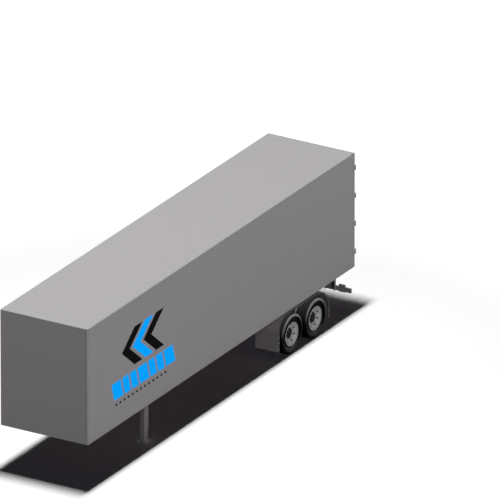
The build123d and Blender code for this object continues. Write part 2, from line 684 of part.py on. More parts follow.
# The outer leg flares to the rear below its top plate: two gussets and a slanted plate.
flare_foot = LEG_TOP - LEG_GUSSET_DROP
flare_tip = LEG_ENDS[0] - LEG_GUSSET_REACH
gusset = shape((LEG_ENDS[0], flare_foot), (LEG_ENDS[0], LEG_TOP), (flare_tip, LEG_TOP))
slant = shape(
    (LEG_ENDS[0], flare_foot),
    (LEG_ENDS[0], flare_foot + 2 * LEG_WALL),
    (flare_tip + LEG_WALL, LEG_TOP),
    (flare_tip, LEG_TOP),
)
flare_y = (LEG_SIDES[0] + LEG_CORNER, LEG_SIDES[1] - LEG_CORNER)
top_x = (flare_tip, LEG_ENDS[1] + LEG_TOP_MARGIN)
top_y = (LEG_SIDES[0] - LEG_TOP_MARGIN, LEG_SIDES[1] + LEG_TOP_MARGIN)
outer_leg = leg_tube(0, (LEG_OUTER_BOTTOM, LEG_TOP)) + block(top_x, top_y, (LEG_TOP, UNDERSIDE_HEIGHT))
outer_leg = outer_leg + along_y(gusset, (flare_y[0], flare_y[0] + LEG_WALL))
outer_leg = outer_leg + along_y(gusset, (flare_y[1] - LEG_WALL, flare_y[1]))
outer_leg = outer_leg + along_y(slant, flare_y)
save("landing_legs_outer", *both(outer_leg))

SLIDE_INSET = LEG_WALL + LEG_SLIDE_GAP
inner_leg = leg_tube(SLIDE_INSET, (LEG_INNER_BOTTOM, LEG_OUTER_BOTTOM + LEG_INNER_LAP))
foot_bore = rod_y(FOOT_PIN_RADIUS + RUNNING_CLEARANCE, LEG_X, LEG_SIDES, FOOT_PIN_HEIGHT)
save("landing_legs_inner", *both(inner_leg - foot_bore))

# Each foot is a shoe with turned-up ends, two ears and the pin between them.
half = FOOT_DEPTH / 2
sole = half - FOOT_LIP
shoe = shape(
    (LEG_X - half, FOOT_RISE),
    (LEG_X - sole, 0),
    (LEG_X + sole, 0),
    (LEG_X + half, FOOT_RISE),
    (LEG_X + half, FOOT_RISE + FOOT_PLATE),
    (LEG_X + sole, FOOT_PLATE),
    (LEG_X - sole, FOOT_PLATE),
    (LEG_X - half, FOOT_RISE + FOOT_PLATE),
)
eye_top = FOOT_PIN_HEIGHT + 2 * FOOT_PIN_RADIUS
ear = shape((LEG_X - FOOT_EAR_HALF, FOOT_PLATE), (LEG_X + FOOT_EAR_HALF, FOOT_PLATE), (LEG_X, eye_top))
ear_inner = LEG_WIDTH / 2 - SLIDE_INSET + FOOT_EAR_GAP
ear_outer = ear_inner + FOOT_EAR
ear_sides = ((LEG_Y - ear_outer, LEG_Y - ear_inner), (LEG_Y + ear_inner, LEG_Y + ear_outer))
ear = ear + Pos(LEG_X, FOOT_PIN_HEIGHT) * Circle(2 * FOOT_PIN_RADIUS)
foot = along_y(shoe, (LEG_Y - FOOT_WIDTH / 2, LEG_Y + FOOT_WIDTH / 2))
foot = foot + along_y(ear, ear_sides[0]) + along_y(ear, ear_sides[1])
foot = foot + rod_y(FOOT_PIN_RADIUS, LEG_X, (LEG_Y - ear_outer, LEG_Y + ear_outer), FOOT_PIN_HEIGHT)
save("landing_feet", *both(foot))

# Diagonal braces from the legs' inner faces up to the cross beams.
brace_foot = UNDERSIDE_HEIGHT - BRACE_DROP
brace_run = BRACE_SPREAD / BRACE_DROP
brace = shape(
    (LEG_SIDES[0], brace_foot),
    (LEG_SIDES[0], brace_foot + BRACE_WIDTH),
    (LEG_SIDES[0] - BRACE_SPREAD + BRACE_WIDTH * brace_run, UNDERSIDE_HEIGHT),
    (LEG_SIDES[0] - BRACE_SPREAD, UNDERSIDE_HEIGHT),
)
brace_x = (LEG_ENDS[0] + LEG_CORNER, LEG_ENDS[0] + LEG_CORNER + BRACE_DEPTH)
save("landing_braces", *both(along_x(brace, brace_x)))

# The cross shaft couples the legs; the gearbox and the folded crank are on the right-hand leg.
cross_shaft = rod_y(CROSS_SHAFT_RADIUS, LEG_X, (-LEG_SIDES[0], LEG_SIDES[0]), CROSS_SHAFT_Z)
gearbox_y = -LEG_SIDES[1] - GEARBOX_WIDTH
crank_y = gearbox_y - CRANK_REACH
gearbox_face = RectangleRounded(GEARBOX_DEPTH, GEARBOX_HEIGHT, GEARBOX_CORNER)
gearbox_face = Pos(LEG_X, CROSS_SHAFT_Z) * gearbox_face
gearbox = along_y(gearbox_face, (gearbox_y, -LEG_SIDES[1]))
neck_y = (gearbox_y - CROSS_SHAFT_RADIUS, gearbox_y)
gearbox = gearbox + rod_y(2 * CROSS_SHAFT_RADIUS, LEG_X, neck_y, CROSS_SHAFT_Z)
gearbox = gearbox + rod_y(CROSS_SHAFT_RADIUS, LEG_X, (crank_y, gearbox_y), CROSS_SHAFT_Z)
crank_arm_y = crank_y + CROSS_SHAFT_RADIUS
crank_arm = rod_x(CRANK_RADIUS, (LEG_X - CRANK_THROW, LEG_X), crank_arm_y, CROSS_SHAFT_Z)
grip_y = (crank_arm_y - CRANK_GRIP, crank_arm_y)
gearbox = gearbox + crank_arm + rod_y(CRANK_GRIP_RADIUS, LEG_X - CRANK_THROW, grip_y, CROSS_SHAFT_Z)
save("landing_cross_shaft", cross_shaft, gearbox)

# ---------------------------------------------------------------- suspension frame and hangers
RAIL_BOTTOM = UNDERSIDE_HEIGHT - FRAME_RAIL_HEIGHT
RAIL_X = (REAR_AXLE_X - FRAME_RAIL_OVERHANG, FRONT_AXLE_X + FRAME_RAIL_OVERHANG)
SPRING_HALF = AXLE_SPACING / 2 - SPRING_END_GAP
SEAT_TOP = AXLE_Z + AXLE_RADIUS + SPRING_SEAT_HEIGHT
MAIN_TOP = SEAT_TOP + LEAF_THICKNESS * len(LEAF_SHARES)
PAD_BOTTOM = MAIN_TOP + LEAF_CAMBER + SLIP_GAP
LEAF_Y = (SPRING_CENTRE - SPRING_WIDTH / 2, SPRING_CENTRE + SPRING_WIDTH / 2)
CHEEK_INNER = (LEAF_Y[0] - HANGER_SIDE_GAP, LEAF_Y[1] + HANGER_SIDE_GAP)
CHEEK_OUTER = (CHEEK_INNER[0] - HANGER_CHEEK, CHEEK_INNER[1] + HANGER_CHEEK)
ROD_PIN_Z = MAIN_TOP - ROD_PIN_DROP
EQUALIZER_PIN_Z = PAD_BOTTOM + EQUALIZER_PIN_RISE
FRONT_HANGER_X = FRONT_AXLE_X + SPRING_HALF + HANGER_BEYOND_TIP
REAR_HANGER_X = REAR_AXLE_X - SPRING_HALF - HANGER_BEYOND_TIP

rail_place = Pos(SPRING_CENTRE, UNDERSIDE_HEIGHT - FRAME_RAIL_HEIGHT / 2)
rail_face = rail_place * tube(FRAME_RAIL_WIDTH, FRAME_RAIL_HEIGHT, FRAME_RAIL_WALL)
frame_rail = along_x(rail_face, RAIL_X)
suspension_frame = frame_rail + other_side(frame_rail)
rail_inside = SPRING_CENTRE - FRAME_RAIL_WIDTH / 2
for x in (FRONT_HANGER_X, MID_AXLE_X, REAR_HANGER_X):
    cross_place = Pos(x, RAIL_BOTTOM + FRAME_CROSS_HEIGHT / 2)
    cross_face = cross_place * tube(FRAME_CROSS_WIDTH, FRAME_CROSS_HEIGHT, FRAME_RAIL_WALL)
    suspension_frame = suspension_frame + along_y(cross_face, (-rail_inside, rail_inside))
save("suspension_frame", suspension_frame)

# Hangers: two cheeks either side of the spring, joined by a web, a slipper pad and a pin.
# place, foot of the cheeks, height and radius of the pin through them
HANGERS = (
    (FRONT_HANGER_X, ROD_PIN_Z - HANGER_FOOT_DROP, ROD_PIN_Z, ROD_PIN_RADIUS),
    (MID_AXLE_X, ROD_PIN_Z - HANGER_FOOT_DROP, ROD_PIN_Z, ROD_PIN_RADIUS),
    (REAR_HANGER_X, ROD_PIN_Z, ROD_PIN_Z + ROD_PIN_RADIUS, KEEPER_PIN_RADIUS),
)
hangers = []
for x, foot_z, pin_z, pin_radius in HANGERS:
    cheek = shape(
        (x - HANGER_LENGTH / 2, RAIL_BOTTOM),
        (x + HANGER_LENGTH / 2, RAIL_BOTTOM),
        (x + HANGER_FOOT_LENGTH / 2, foot_z),
        (x - HANGER_FOOT_LENGTH / 2, foot_z),
    )
    hanger = along_y(cheek, (CHEEK_OUTER[0], CHEEK_INNER[0]))
    hanger = hanger + along_y(cheek, (CHEEK_INNER[1], CHEEK_OUTER[1]))
    hanger = hanger + rod_y(pin_radius, x, CHEEK_OUTER, pin_z)
    web_x = (x - HANGER_WEB / 2, x + HANGER_WEB / 2)
    if x == MID_AXLE_X:
        web_foot = EQUALIZER_PIN_Z + EQUALIZER_BOSS_RADIUS + HANGER_WEB
        hanger = hanger + rod_y(EQUALIZER_PIN_RADIUS, x, CHEEK_OUTER, EQUALIZER_PIN_Z)
    else:
        web_foot = PAD_BOTTOM
        pad_x = (x - HANGER_PAD_LENGTH / 2, x + HANGER_PAD_LENGTH / 2)
        hanger = hanger + block(pad_x, CHEEK_INNER, (PAD_BOTTOM, PAD_BOTTOM + HANGER_PAD))
    hanger = hanger + block(web_x, CHEEK_INNER, (web_foot, RAIL_BOTTOM))
    hangers.append(hanger)
save("suspension_hangers", *[solid for hanger in hangers for solid in both(hanger)])

# ---------------------------------------------------------------- springs, equalizers, clamps
# Cambered leaves with one centre of curvature, the longest on top.
LEAF_RADIUS = (SPRING_HALF**2 + LEAF_CAMBER**2) / (2 * LEAF_CAMBER)


def leaf(x, half_length, level):
    """One leaf, level steps below the main leaf, between two arcs of the pack's centre."""
    upper = LEAF_RADIUS + level * LEAF_THICKNESS
    lower = upper + LEAF_THICKNESS
    centre_z = MAIN_TOP + LEAF_RADIUS
    spread = asin(half_length / upper)
    side, drop = sin(spread), cos(spread)
    upper_rear = (x - upper * side, centre_z - upper * drop)
    upper_front = (x + upper * side, centre_z - upper * drop)
    lower_rear = (x - lower * side, centre_z - lower * drop)
    lower_front = (x + lower * side, centre_z - lower * drop)
    outline = (
        ThreePointArc(upper_rear, (x, centre_z - upper), upper_front)
        + Line(upper_front, lower_front)
        + ThreePointArc(lower_front, (x, centre_z - lower), lower_rear)
        + Line(lower_rear, upper_rear)
    )
    return along_y(make_face(outline), LEAF_Y)


springs = []
for x in (FRONT_AXLE_X, REAR_AXLE_X):
    pack = leaf(x, SPRING_HALF, 0)
    for level, share in enumerate(LEAF_SHARES[1:], start=1):
        pack = pack + leaf(x, SPRING_HALF * share, level)
    springs.extend(both(pack))
save("leaf_springs", *springs)

# Equalizer beams rock on the middle hangers' pins and bear on the springs' inner ends.
beam_end = EQUALIZER_HALF - EQUALIZER_PAD_LENGTH
equalizer_face = shape(
    (MID_AXLE_X - EQUALIZER_HALF, PAD_BOTTOM),
    (MID_AXLE_X - beam_end, PAD_BOTTOM),
    (MID_AXLE_X - beam_end / 2, PAD_BOTTOM + EQUALIZER_ARCH),
    (MID_AXLE_X + beam_end / 2, PAD_BOTTOM + EQUALIZER_ARCH),
    (MID_AXLE_X + beam_end, PAD_BOTTOM),
    (MID_AXLE_X + EQUALIZER_HALF, PAD_BOTTOM),
    (MID_AXLE_X + EQUALIZER_HALF, PAD_BOTTOM + EQUALIZER_END_HEIGHT),
    (MID_AXLE_X, EQUALIZER_PIN_Z + EQUALIZER_BOSS_RADIUS),
    (MID_AXLE_X - EQUALIZER_HALF, PAD_BOTTOM + EQUALIZER_END_HEIGHT),
)
equalizer_boss = rod_y(EQUALIZER_BOSS_RADIUS, MID_AXLE_X, LEAF_Y, EQUALIZER_PIN_Z)
equalizer_bore = rod_y(EQUALIZER_PIN_RADIUS + RUNNING_CLEARANCE, MID_AXLE_X, LEAF_Y, EQUALIZER_PIN_Z)
save("equalizers", *both(along_y(equalizer_face, LEAF_Y) + equalizer_boss - equalizer_bore))

# Each spring is clamped to its axle by two U-bolts round the pack and the axle, over a top plate
# whose underside follows the main leaf.
BOLT_X = AXLE_RADIUS + U_BOLT_GAP + U_BOLT_RADIUS
BOLT_HALF_PITCH = SPRING_WIDTH / 2 + U_BOLT_GAP + U_BOLT_RADIUS
BOLT_Y = (SPRING_CENTRE - BOLT_HALF_PITCH, SPRING_CENTRE + BOLT_HALF_PITCH)
CLAMP_TOP = MAIN_TOP + CLAMP_PLATE
AXLE_BOTTOM = AXLE_Z - AXLE_RADIUS
clamps = []
for x in (FRONT_AXLE_X, REAR_AXLE_X):
    plate_x = (x - CLAMP_LENGTH / 2, x + CLAMP_LENGTH / 2)
    lower_y = (BOLT_Y[0] - CLAMP_MARGIN, BOLT_Y[1] + CLAMP_MARGIN)
    leaf_curve = rod_y(LEAF_RADIUS, x, LEAF_Y, MAIN_TOP + LEAF_RADIUS)
    clamp = block(plate_x, LEAF_Y, (MAIN_TOP, CLAMP_TOP)) & leaf_curve
    clamp = clamp + block(plate_x, lower_y, (AXLE_BOTTOM - CLAMP_PLATE, AXLE_BOTTOM))
    arch_z = CLAMP_TOP + U_BOLT_RADIUS - U_BOLT_SINK
    for bolt_x in (x - BOLT_X, x + BOLT_X):
        clamp = clamp + rod_y(U_BOLT_RADIUS, bolt_x, BOLT_Y, arch_z)
        for bolt_y in BOLT_Y:
            clamp = clamp + rod_z(U_BOLT_RADIUS, bolt_x, bolt_y, (AXLE_BOTTOM - 2 * CLAMP_PLATE, arch_z))
    clamps.extend(both(clamp))
save("spring_clamps", *clamps)

# ---------------------------------------------------------------- axles and radius rods
HUB_START_Y = INNER_DISC_Y - DISC_PLATE - HUB_FLANGE_THICKNESS - HUB_TAIL
SHOULDER_Y = HUB_START_Y - HUB_END_GAP
SPINDLE_END = OUTER_DISC_Y - SPINDLE_CAP_GAP
EYE_Y = (SPRING_CENTRE - ROD_EYE_WIDTH / 2, SPRING_CENTRE + ROD_EYE_WIDTH / 2)
EAR_INNER = (EYE_Y[0] - ROD_EAR_GAP, EYE_Y[1] + ROD_EAR_GAP)
EAR_OUTER = (EAR_INNER[0] - ROD_EAR, EAR_INNER[1] + ROD_EAR)
ROD_AXLE_Z = AXLE_Z + ROD_AXLE_RISE


def axle(x):
    """The beam with its spindles, its spring seats and the ears and pins of its radius rods."""
    beam = rod_y(AXLE_RADIUS, x, (-SHOULDER_Y, SHOULDER_Y), AXLE_Z)
    beam = beam + rod_y(SPINDLE_RADIUS, x, (-SPINDLE_END, SPINDLE_END), AXLE_Z)
    pin_x = x + ROD_AXLE_REACH
    ear = shape(
        (x, AXLE_Z - AXLE_RADIUS / 2),
        (pin_x + ROD_PIN_RADIUS, ROD_AXLE_Z - ROD_EYE_RADIUS),
        (pin_x + ROD_EYE_RADIUS, ROD_AXLE_Z),
        (pin_x, ROD_AXLE_Z + ROD_EYE_RADIUS),
        (x, AXLE_Z + AXLE_RADIUS),
    )
    seat_x = (x - SPRING_SEAT_LENGTH / 2, x + SPRING_SEAT_LENGTH / 2)
    side = block(seat_x, LEAF_Y, (AXLE_Z, SEAT_TOP))
    side = side + along_y(ear, (EAR_OUTER[0], EAR_INNER[0]))
    side = side + along_y(ear, (EAR_INNER[1], EAR_OUTER[1]))
    side = side + rod_y(ROD_PIN_RADIUS, pin_x, EAR_OUTER, ROD_AXLE_Z)
    return beam + side + other_side(side)


save("axle_front", axle(FRONT_AXLE_X))
save("axle_rear", axle(REAR_AXLE_X))

# Radius rods tie each axle to the hanger ahead of it; both ends are eyes on pins.
rods = []
for axle_x, hanger_x in ((FRONT_AXLE_X, FRONT_HANGER_X), (REAR_AXLE_X, MID_AXLE_X)):
    low_end = Vector(axle_x + ROD_AXLE_REACH, SPRING_CENTRE, ROD_AXLE_Z)
    high_end = Vector(hanger_x, SPRING_CENTRE, ROD_PIN_Z)
    run = high_end - low_end
    rod = extrude(Plane(low_end, z_dir=run) * Circle(ROD_RADIUS), amount=run.length, dir=run)
    for end in (low_end, high_end):
        rod = rod + rod_y(ROD_EYE_RADIUS, end.X, EYE_Y, end.Z)
    for end in (low_end, high_end):
        rod = rod - rod_y(ROD_PIN_RADIUS + RUNNING_CLEARANCE, end.X, EYE_Y, end.Z)
    rods.extend(both(rod))
save("radius_rods", *rods)

# ---------------------------------------------------------------- brakes
# On each side of an axle: a dust shield, a cam shaft tube behind the beam, and a chamber on a
# bracket whose pushrod works the slack adjuster on the shaft.
DRUM_START_Y = INNER_TYRE_Y - TYRE_WIDTH / 2 - DRUM_REACH
SHIELD_Y = (DRUM_START_Y - HUB_END_GAP - SHIELD_THICKNESS, DRUM_START_Y - HUB_END_GAP)
CHAMBER_Y = SPRING_CENTRE - CHAMBER_INBOARD
BRACKET_Y = (CHAMBER_Y - BRAKE_BRACKET_WIDTH / 2, CHAMBER_Y + BRAKE_BRACKET_WIDTH / 2)


def brake(x):
    cam_x = x - CAM_TUBE_OFFSET
    chamber_z = AXLE_Z + CHAMBER_RISE
    face_x = cam_x - CHAMBER_GAP
    slack_y = (CHAMBER_Y - SLACK_WIDTH / 2, CHAMBER_Y + SLACK_WIDTH / 2)
    shield = rod_y(SHIELD_RADIUS, x, SHIELD_Y, AXLE_Z)
    cam_tube = rod_y(CAM_TUBE_RADIUS, cam_x, (BRACKET_Y[0], SHIELD_Y[1] + CAM_TUBE_END), AXLE_Z)
    slack_x = (cam_x - SLACK_DEPTH / 2, cam_x + SLACK_DEPTH / 2)
    slack = block(slack_x, slack_y, (AXLE_Z, chamber_z + SLACK_DEPTH / 2))
    pushrod = rod_x(PUSHROD_RADIUS, (face_x, cam_x), CHAMBER_Y, chamber_z)
    rear_x = face_x - CHAMBER_LENGTH
    end_x = rear_x - SPRING_CHAMBER_LENGTH
    chamber = rod_x(CHAMBER_RADIUS, (rear_x, face_x), CHAMBER_Y, chamber_z)
    chamber = chamber + rod_x(SPRING_CHAMBER_RADIUS, (end_x, rear_x), CHAMBER_Y, chamber_z)
    rib = shape(
        (x, AXLE_Z + AXLE_RADIUS),
        (face_x, chamber_z + BRAKE_BRACKET_HEIGHT / 2),
        (face_x, chamber_z - BRAKE_BRACKET_HEIGHT / 2),
        (cam_x, AXLE_Z - CAM_TUBE_RADIUS),
        (x, AXLE_Z - CAM_TUBE_RADIUS),
    )
    bracket = along_y(rib, (BRACKET_Y[0], BRACKET_Y[0] + BRAKE_BRACKET_PLATE))
    bracket = bracket + along_y(rib, (BRACKET_Y[1] - BRAKE_BRACKET_PLATE, BRACKET_Y[1]))
    plate_z = (chamber_z - BRAKE_BRACKET_HEIGHT / 2, chamber_z + BRAKE_BRACKET_HEIGHT / 2)
    bracket = bracket + block((face_x, face_x + BRAKE_BRACKET_PLATE), BRACKET_Y, plate_z)
    whole = shield + cam_tube + slack + pushrod + chamber + bracket
    return whole - rod_y(AXLE_RADIUS, x, (0, SHOULDER_Y), AXLE_Z)


save("brakes_front", *both(brake(FRONT_AXLE_X)))
save("brakes_rear", *both(brake(REAR_AXLE_X)))

# ---------------------------------------------------------------- tyres
# A tyre's casing is drawn as (radius, Y), carried across one flat and repeated round the axle.
bead_half = BEAD_WIDTH / 2 - TYRE_SEAT_GAP
bead_bore = BEAD_RADIUS + TYRE_SEAT_GAP
flange_radius = BEAD_RADIUS + RIM_FLANGE_HEIGHT
rim_clear = flange_radius + 2 * TYRE_SEAT_GAP
shoulder = TYRE_RADIUS - SHOULDER_DROP
bulge = TYRE_RADIUS - SIDEWALL_HEIGHT
side_points = (
    (bead_bore, bead_half),
    (rim_clear, bead_half),
    (bulge, TYRE_WIDTH / 2),
    (shoulder, TYRE_WIDTH / 2 - SHOULDER_INSET),
    (TYRE_RADIUS, TREAD_WIDTH / 2),
)
casing = shape(*side_points, *[(radius, -y) for radius, y in reversed(side_points)])
half_angle = 180 / TYRE_SIDES
reach = TYRE_RADIUS + TYRE_WIDTH
reach_half = reach * tan(radians(half_angle))
wedge_face = shape((0, 0), (reach, -reach_half), (reach, reach_half))
flat = extrude(casing, amount=reach_half, both=True) & along_y(wedge_face, (-TYRE_WIDTH, TYRE_WIDTH))
flats = [Rot(0, 2 * half_angle * step, 0) * flat for step in range(TYRE_SIDES)]
tyre = flats[0].fuse(*flats[1:])

# ---------------------------------------------------------------- wheels
# Rim and dished disc in one section, drawn as (radius, Y) about the wheel's middle.
disc_y = RIM_HALF - DISC_DISH
edge_y = RIM_HALF - DISC_RIM_DEPTH
barrel = BEAD_RADIUS - RIM_WALL
rim_section = shape(
    (flange_radius, -RIM_HALF),
    (flange_radius, -RIM_HALF + RIM_WALL),
    (BEAD_RADIUS, -RIM_HALF + RIM_WALL),
    (BEAD_RADIUS, RIM_HALF - RIM_WALL),
    (flange_radius, RIM_HALF - RIM_WALL),
    (flange_radius, RIM_HALF),
    (barrel, RIM_HALF),
    (barrel, edge_y),
    (DISC_FLAT_RADIUS, disc_y),
    (DISC_BORE_RADIUS, disc_y),
    (DISC_BORE_RADIUS, disc_y - DISC_PLATE),
    (DISC_FLAT_RADIUS, disc_y - DISC_PLATE),
    (barrel, edge_y - DISC_PLATE),
    (barrel, -RIM_HALF),
)
wheel = revolve(rim_section, Axis.Y)
hand_hole = rod_y(HAND_HOLE_RADIUS, HAND_HOLE_CIRCLE_RADIUS, (disc_y - DISC_PLATE, RIM_HALF), 0)
for step in range(HAND_HOLE_COUNT):
    wheel = wheel - Rot(0, -HAND_HOLE_START - 360 / HAND_HOLE_COUNT * step, 0) * hand_hole

# ---------------------------------------------------------------- hubs, drums and spacers
# The hub and its drum seat the inner wheel; a flanged spacer on it seats the outer wheel.
spigot = DISC_BORE_RADIUS - SPIGOT_GAP
bearing = SPINDLE_RADIUS + RUNNING_CLEARANCE
inner_seat = INNER_DISC_Y - DISC_PLATE
outer_seat = OUTER_DISC_Y - DISC_PLATE
drum_back = inner_seat - HUB_FLANGE_THICKNESS
hub_end = OUTER_DISC_Y + HUB_PROUD
hub_section = shape(
    (bearing, HUB_START_Y),
    (HUB_BARREL_RADIUS, HUB_START_Y),
    (HUB_BARREL_RADIUS, drum_back - DRUM_WALL),
    (DRUM_RADIUS - DRUM_WALL, drum_back - DRUM_WALL),
    (DRUM_RADIUS - DRUM_WALL, DRUM_START_Y),
    (DRUM_RADIUS, DRUM_START_Y),
    (DRUM_RADIUS, drum_back),
    (HUB_FLANGE_RADIUS, drum_back),
    (HUB_FLANGE_RADIUS, inner_seat),
    (spigot, inner_seat),
    (spigot, INNER_DISC_Y),
    (HUB_BARREL_RADIUS, INNER_DISC_Y),
    (HUB_BARREL_RADIUS, hub_end),
    (HUB_CAP_RADIUS, hub_end),
    (HUB_CAP_RADIUS, hub_end + HUB_CAP_HEIGHT),
    (0, hub_end + HUB_CAP_HEIGHT),
    (0, SPINDLE_END + SPINDLE_CAP_GAP),
    (bearing, SPINDLE_END + SPINDLE_CAP_GAP),
)
spacer_bore = HUB_BARREL_RADIUS + SPACER_BORE_GAP
spacer_inside = SPACER_RADIUS - SPACER_WALL
spacer_section = shape(
    (spacer_inside, INNER_DISC_Y),
    (HUB_FLANGE_RADIUS, INNER_DISC_Y),
    (HUB_FLANGE_RADIUS, INNER_DISC_Y + HUB_FLANGE_THICKNESS),
    (SPACER_RADIUS, INNER_DISC_Y + HUB_FLANGE_THICKNESS),
    (SPACER_RADIUS, outer_seat - HUB_FLANGE_THICKNESS),
    (HUB_FLANGE_RADIUS, outer_seat - HUB_FLANGE_THICKNESS),
    (HUB_FLANGE_RADIUS, outer_seat),
    (spigot, outer_seat),
    (spigot, OUTER_DISC_Y),
    (spacer_bore, OUTER_DISC_Y),
    (spacer_bore, outer_seat - HUB_FLANGE_THICKNESS),
    (spacer_inside, outer_seat - HUB_FLANGE_THICKNESS),
)
hub = revolve(hub_section, Axis.Y)
spacer = revolve(spacer_section, Axis.Y)

wheel_set = {
    "tyres": (Pos(0, OUTER_TYRE_Y, 0) * tyre, Pos(0, INNER_TYRE_Y, 0) * tyre),
    "wheels": (Pos(0, OUTER_TYRE_Y, 0) * wheel, Pos(0, INNER_TYRE_Y, 0) * wheel),
    "hub_drum": (hub, spacer),
}
for end, x in (("front", FRONT_AXLE_X), ("rear", REAR_AXLE_X)):
    for node, solids in wheel_set.items():
        placed = [Pos(x, 0, AXLE_Z) * solid for solid in solids]
        save(f"{node}_{end}_left", *placed)
        save(f"{node}_{end}_right", *[other_side(solid) for solid in placed])

# ---------------------------------------------------------------- wheel covers
COVER_TOP = UNDERSIDE_HEIGHT - COVER_TOP_GAP
COVER_FRONT_X = FRONT_AXLE_X + COVER_FRONT_REACH
COVER_Y = (HALF_WIDTH - COVER_WIDTH, HALF_WIDTH)


def cover_outline(inset, drop):
    """The closed outline of a cover, drawn in by inset and carried down by drop."""
    front = COVER_FRONT_X - inset
    front_radius = COVER_FRONT_RADIUS - inset
    front_x = COVER_FRONT_X - COVER_FRONT_RADIUS
    front_z = COVER_TOP - COVER_FRONT_RADIUS
    rear_radius = COVER_REAR_RADIUS - inset
    rear_z = COVER_TOP - COVER_REAR_RADIUS
    rear = REAR_AXLE_X - rear_radius
    top = COVER_TOP - inset
    diagonal = sqrt(0.5)
    front_middle = (front_x + front_radius * diagonal, front_z + front_radius * diagonal)
    rear_middle = (REAR_AXLE_X - rear_radius * diagonal, rear_z + rear_radius * diagonal)
    outline = (
        Line((front, COVER_FRONT_BOTTOM - drop), (front, front_z))
        + ThreePointArc((front, front_z), front_middle, (front_x, top))
        + Line((front_x, top), (REAR_AXLE_X, top))
        + ThreePointArc((REAR_AXLE_X, top), rear_middle, (rear, rear_z))
        + Line((rear, rear_z), (rear, COVER_REAR_BOTTOM - drop))
        + Line((rear, COVER_REAR_BOTTOM - drop), (front, COVER_FRONT_BOTTOM - drop))
    )
    return make_face(outline)


# A wrapper round the wheels with a narrow lip along its outer edge, hung from three brackets.
skin = cover_outline(0, 0) - cover_outline(COVER_SKIN, COVER_LIP)
lip = cover_outline(0, 0) - cover_outline(COVER_LIP, COVER_LIP)
cover = along_y(skin, COVER_Y) + along_y(lip, (COVER_Y[1] - COVER_SKIN, COVER_Y[1]))
bracket_y = (COVER_Y[0] + COVER_BRACKET_INSET, COVER_Y[1] - COVER_BRACKET_OUTER_INSET)
bracket_limits = (REAR_AXLE_X + COVER_BRACKET, COVER_FRONT_X - COVER_FRONT_RADIUS - COVER_BRACKET)
for x in spaced(bracket_limits, AXLE_SPACING / 2):
    bracket_x = (x - COVER_BRACKET / 2, x + COVER_BRACKET / 2)
    cover = cover + block(bracket_x, bracket_y, (COVER_TOP - COVER_SKIN, UNDERSIDE_HEIGHT))
save("wheel_cover_left", cover)
save("wheel_cover_right", other_side(cover))

# ---------------------------------------------------------------- rear guard
guard_half = HALF_WIDTH - GUARD_END_INSET
bar_face = tube(GUARD_BAR_DEPTH, GUARD_BAR_HEIGHT, GUARD_BAR_WALL)
bar_face = Pos(TAIL_X + GUARD_BAR_DEPTH / 2, GUARD_CENTRE_HEIGHT) * bar_face
guard = along_y(bar_face, (-guard_half, guard_half))

# Each upright is a channel ahead of the bar, open to the front, with a gusset on each flange.
web_x = (TAIL_X + GUARD_BAR_DEPTH, TAIL_X + GUARD_BAR_DEPTH + GUARD_POST_PLATE)
flange_end = web_x[1] + GUARD_POST_DEPTH
post_y = (GUARD_POST_INNER, GUARD_POST_OUTER)
post_z = (GUARD_CENTRE_HEIGHT - GUARD_BAR_HEIGHT / 2, UNDERSIDE_HEIGHT)
guard_gusset = shape(
    (flange_end, UNDERSIDE_HEIGHT - GUARD_GUSSET_DROP),
    (flange_end + GUARD_GUSSET_REACH, UNDERSIDE_HEIGHT),
    (flange_end, UNDERSIDE_HEIGHT),
)
post = block(web_x, post_y, post_z)
for y in (GUARD_POST_INNER, GUARD_POST_OUTER - GUARD_POST_PLATE):
    flange_y = (y, y + GUARD_POST_PLATE)
    post = post + block((web_x[1], flange_end), flange_y, post_z) + along_y(guard_gusset, flange_y)
save("rear_guard", guard + post + other_side(post))

# ---------------------------------------------------------------- lamps
lamp_box_x = (TAIL_X - LAMP_BOX_DEPTH, TAIL_X)
lamp_box_z = (GUARD_CENTRE_HEIGHT - LAMP_BOX_HEIGHT / 2, GUARD_CENTRE_HEIGHT + LAMP_BOX_HEIGHT / 2)
save("lamp_boxes", *both(block(lamp_box_x, (LAMP_BOX_INNER, LAMP_BOX_OUTER), lamp_box_z)))

lens_x = (lamp_box_x[0] - LAMP_PROUD, lamp_box_x[0])
lens_y = (LAMP_BOX_INNER + LAMP_BOX_OUTER) / 2
lens_heights = (GUARD_CENTRE_HEIGHT - LAMP_PITCH / 2, GUARD_CENTRE_HEIGHT + LAMP_PITCH / 2)
save("tail_lamps", *[lens for z in lens_heights for lens in both(rod_x(LAMP_RADIUS, lens_x, lens_y, z))])

marker_x = (TAIL_X - MARKER_PROUD, TAIL_X)
marker_top = ROOF_BOTTOM - MARKER_HEIGHT
marker_z = (marker_top - MARKER_HEIGHT, marker_top)
markers = [block(marker_x, (y - MARKER_LENGTH / 2, y + MARKER_LENGTH / 2), marker_z) for y in MARKER_PLACES]
save("marker_lamps", *markers)

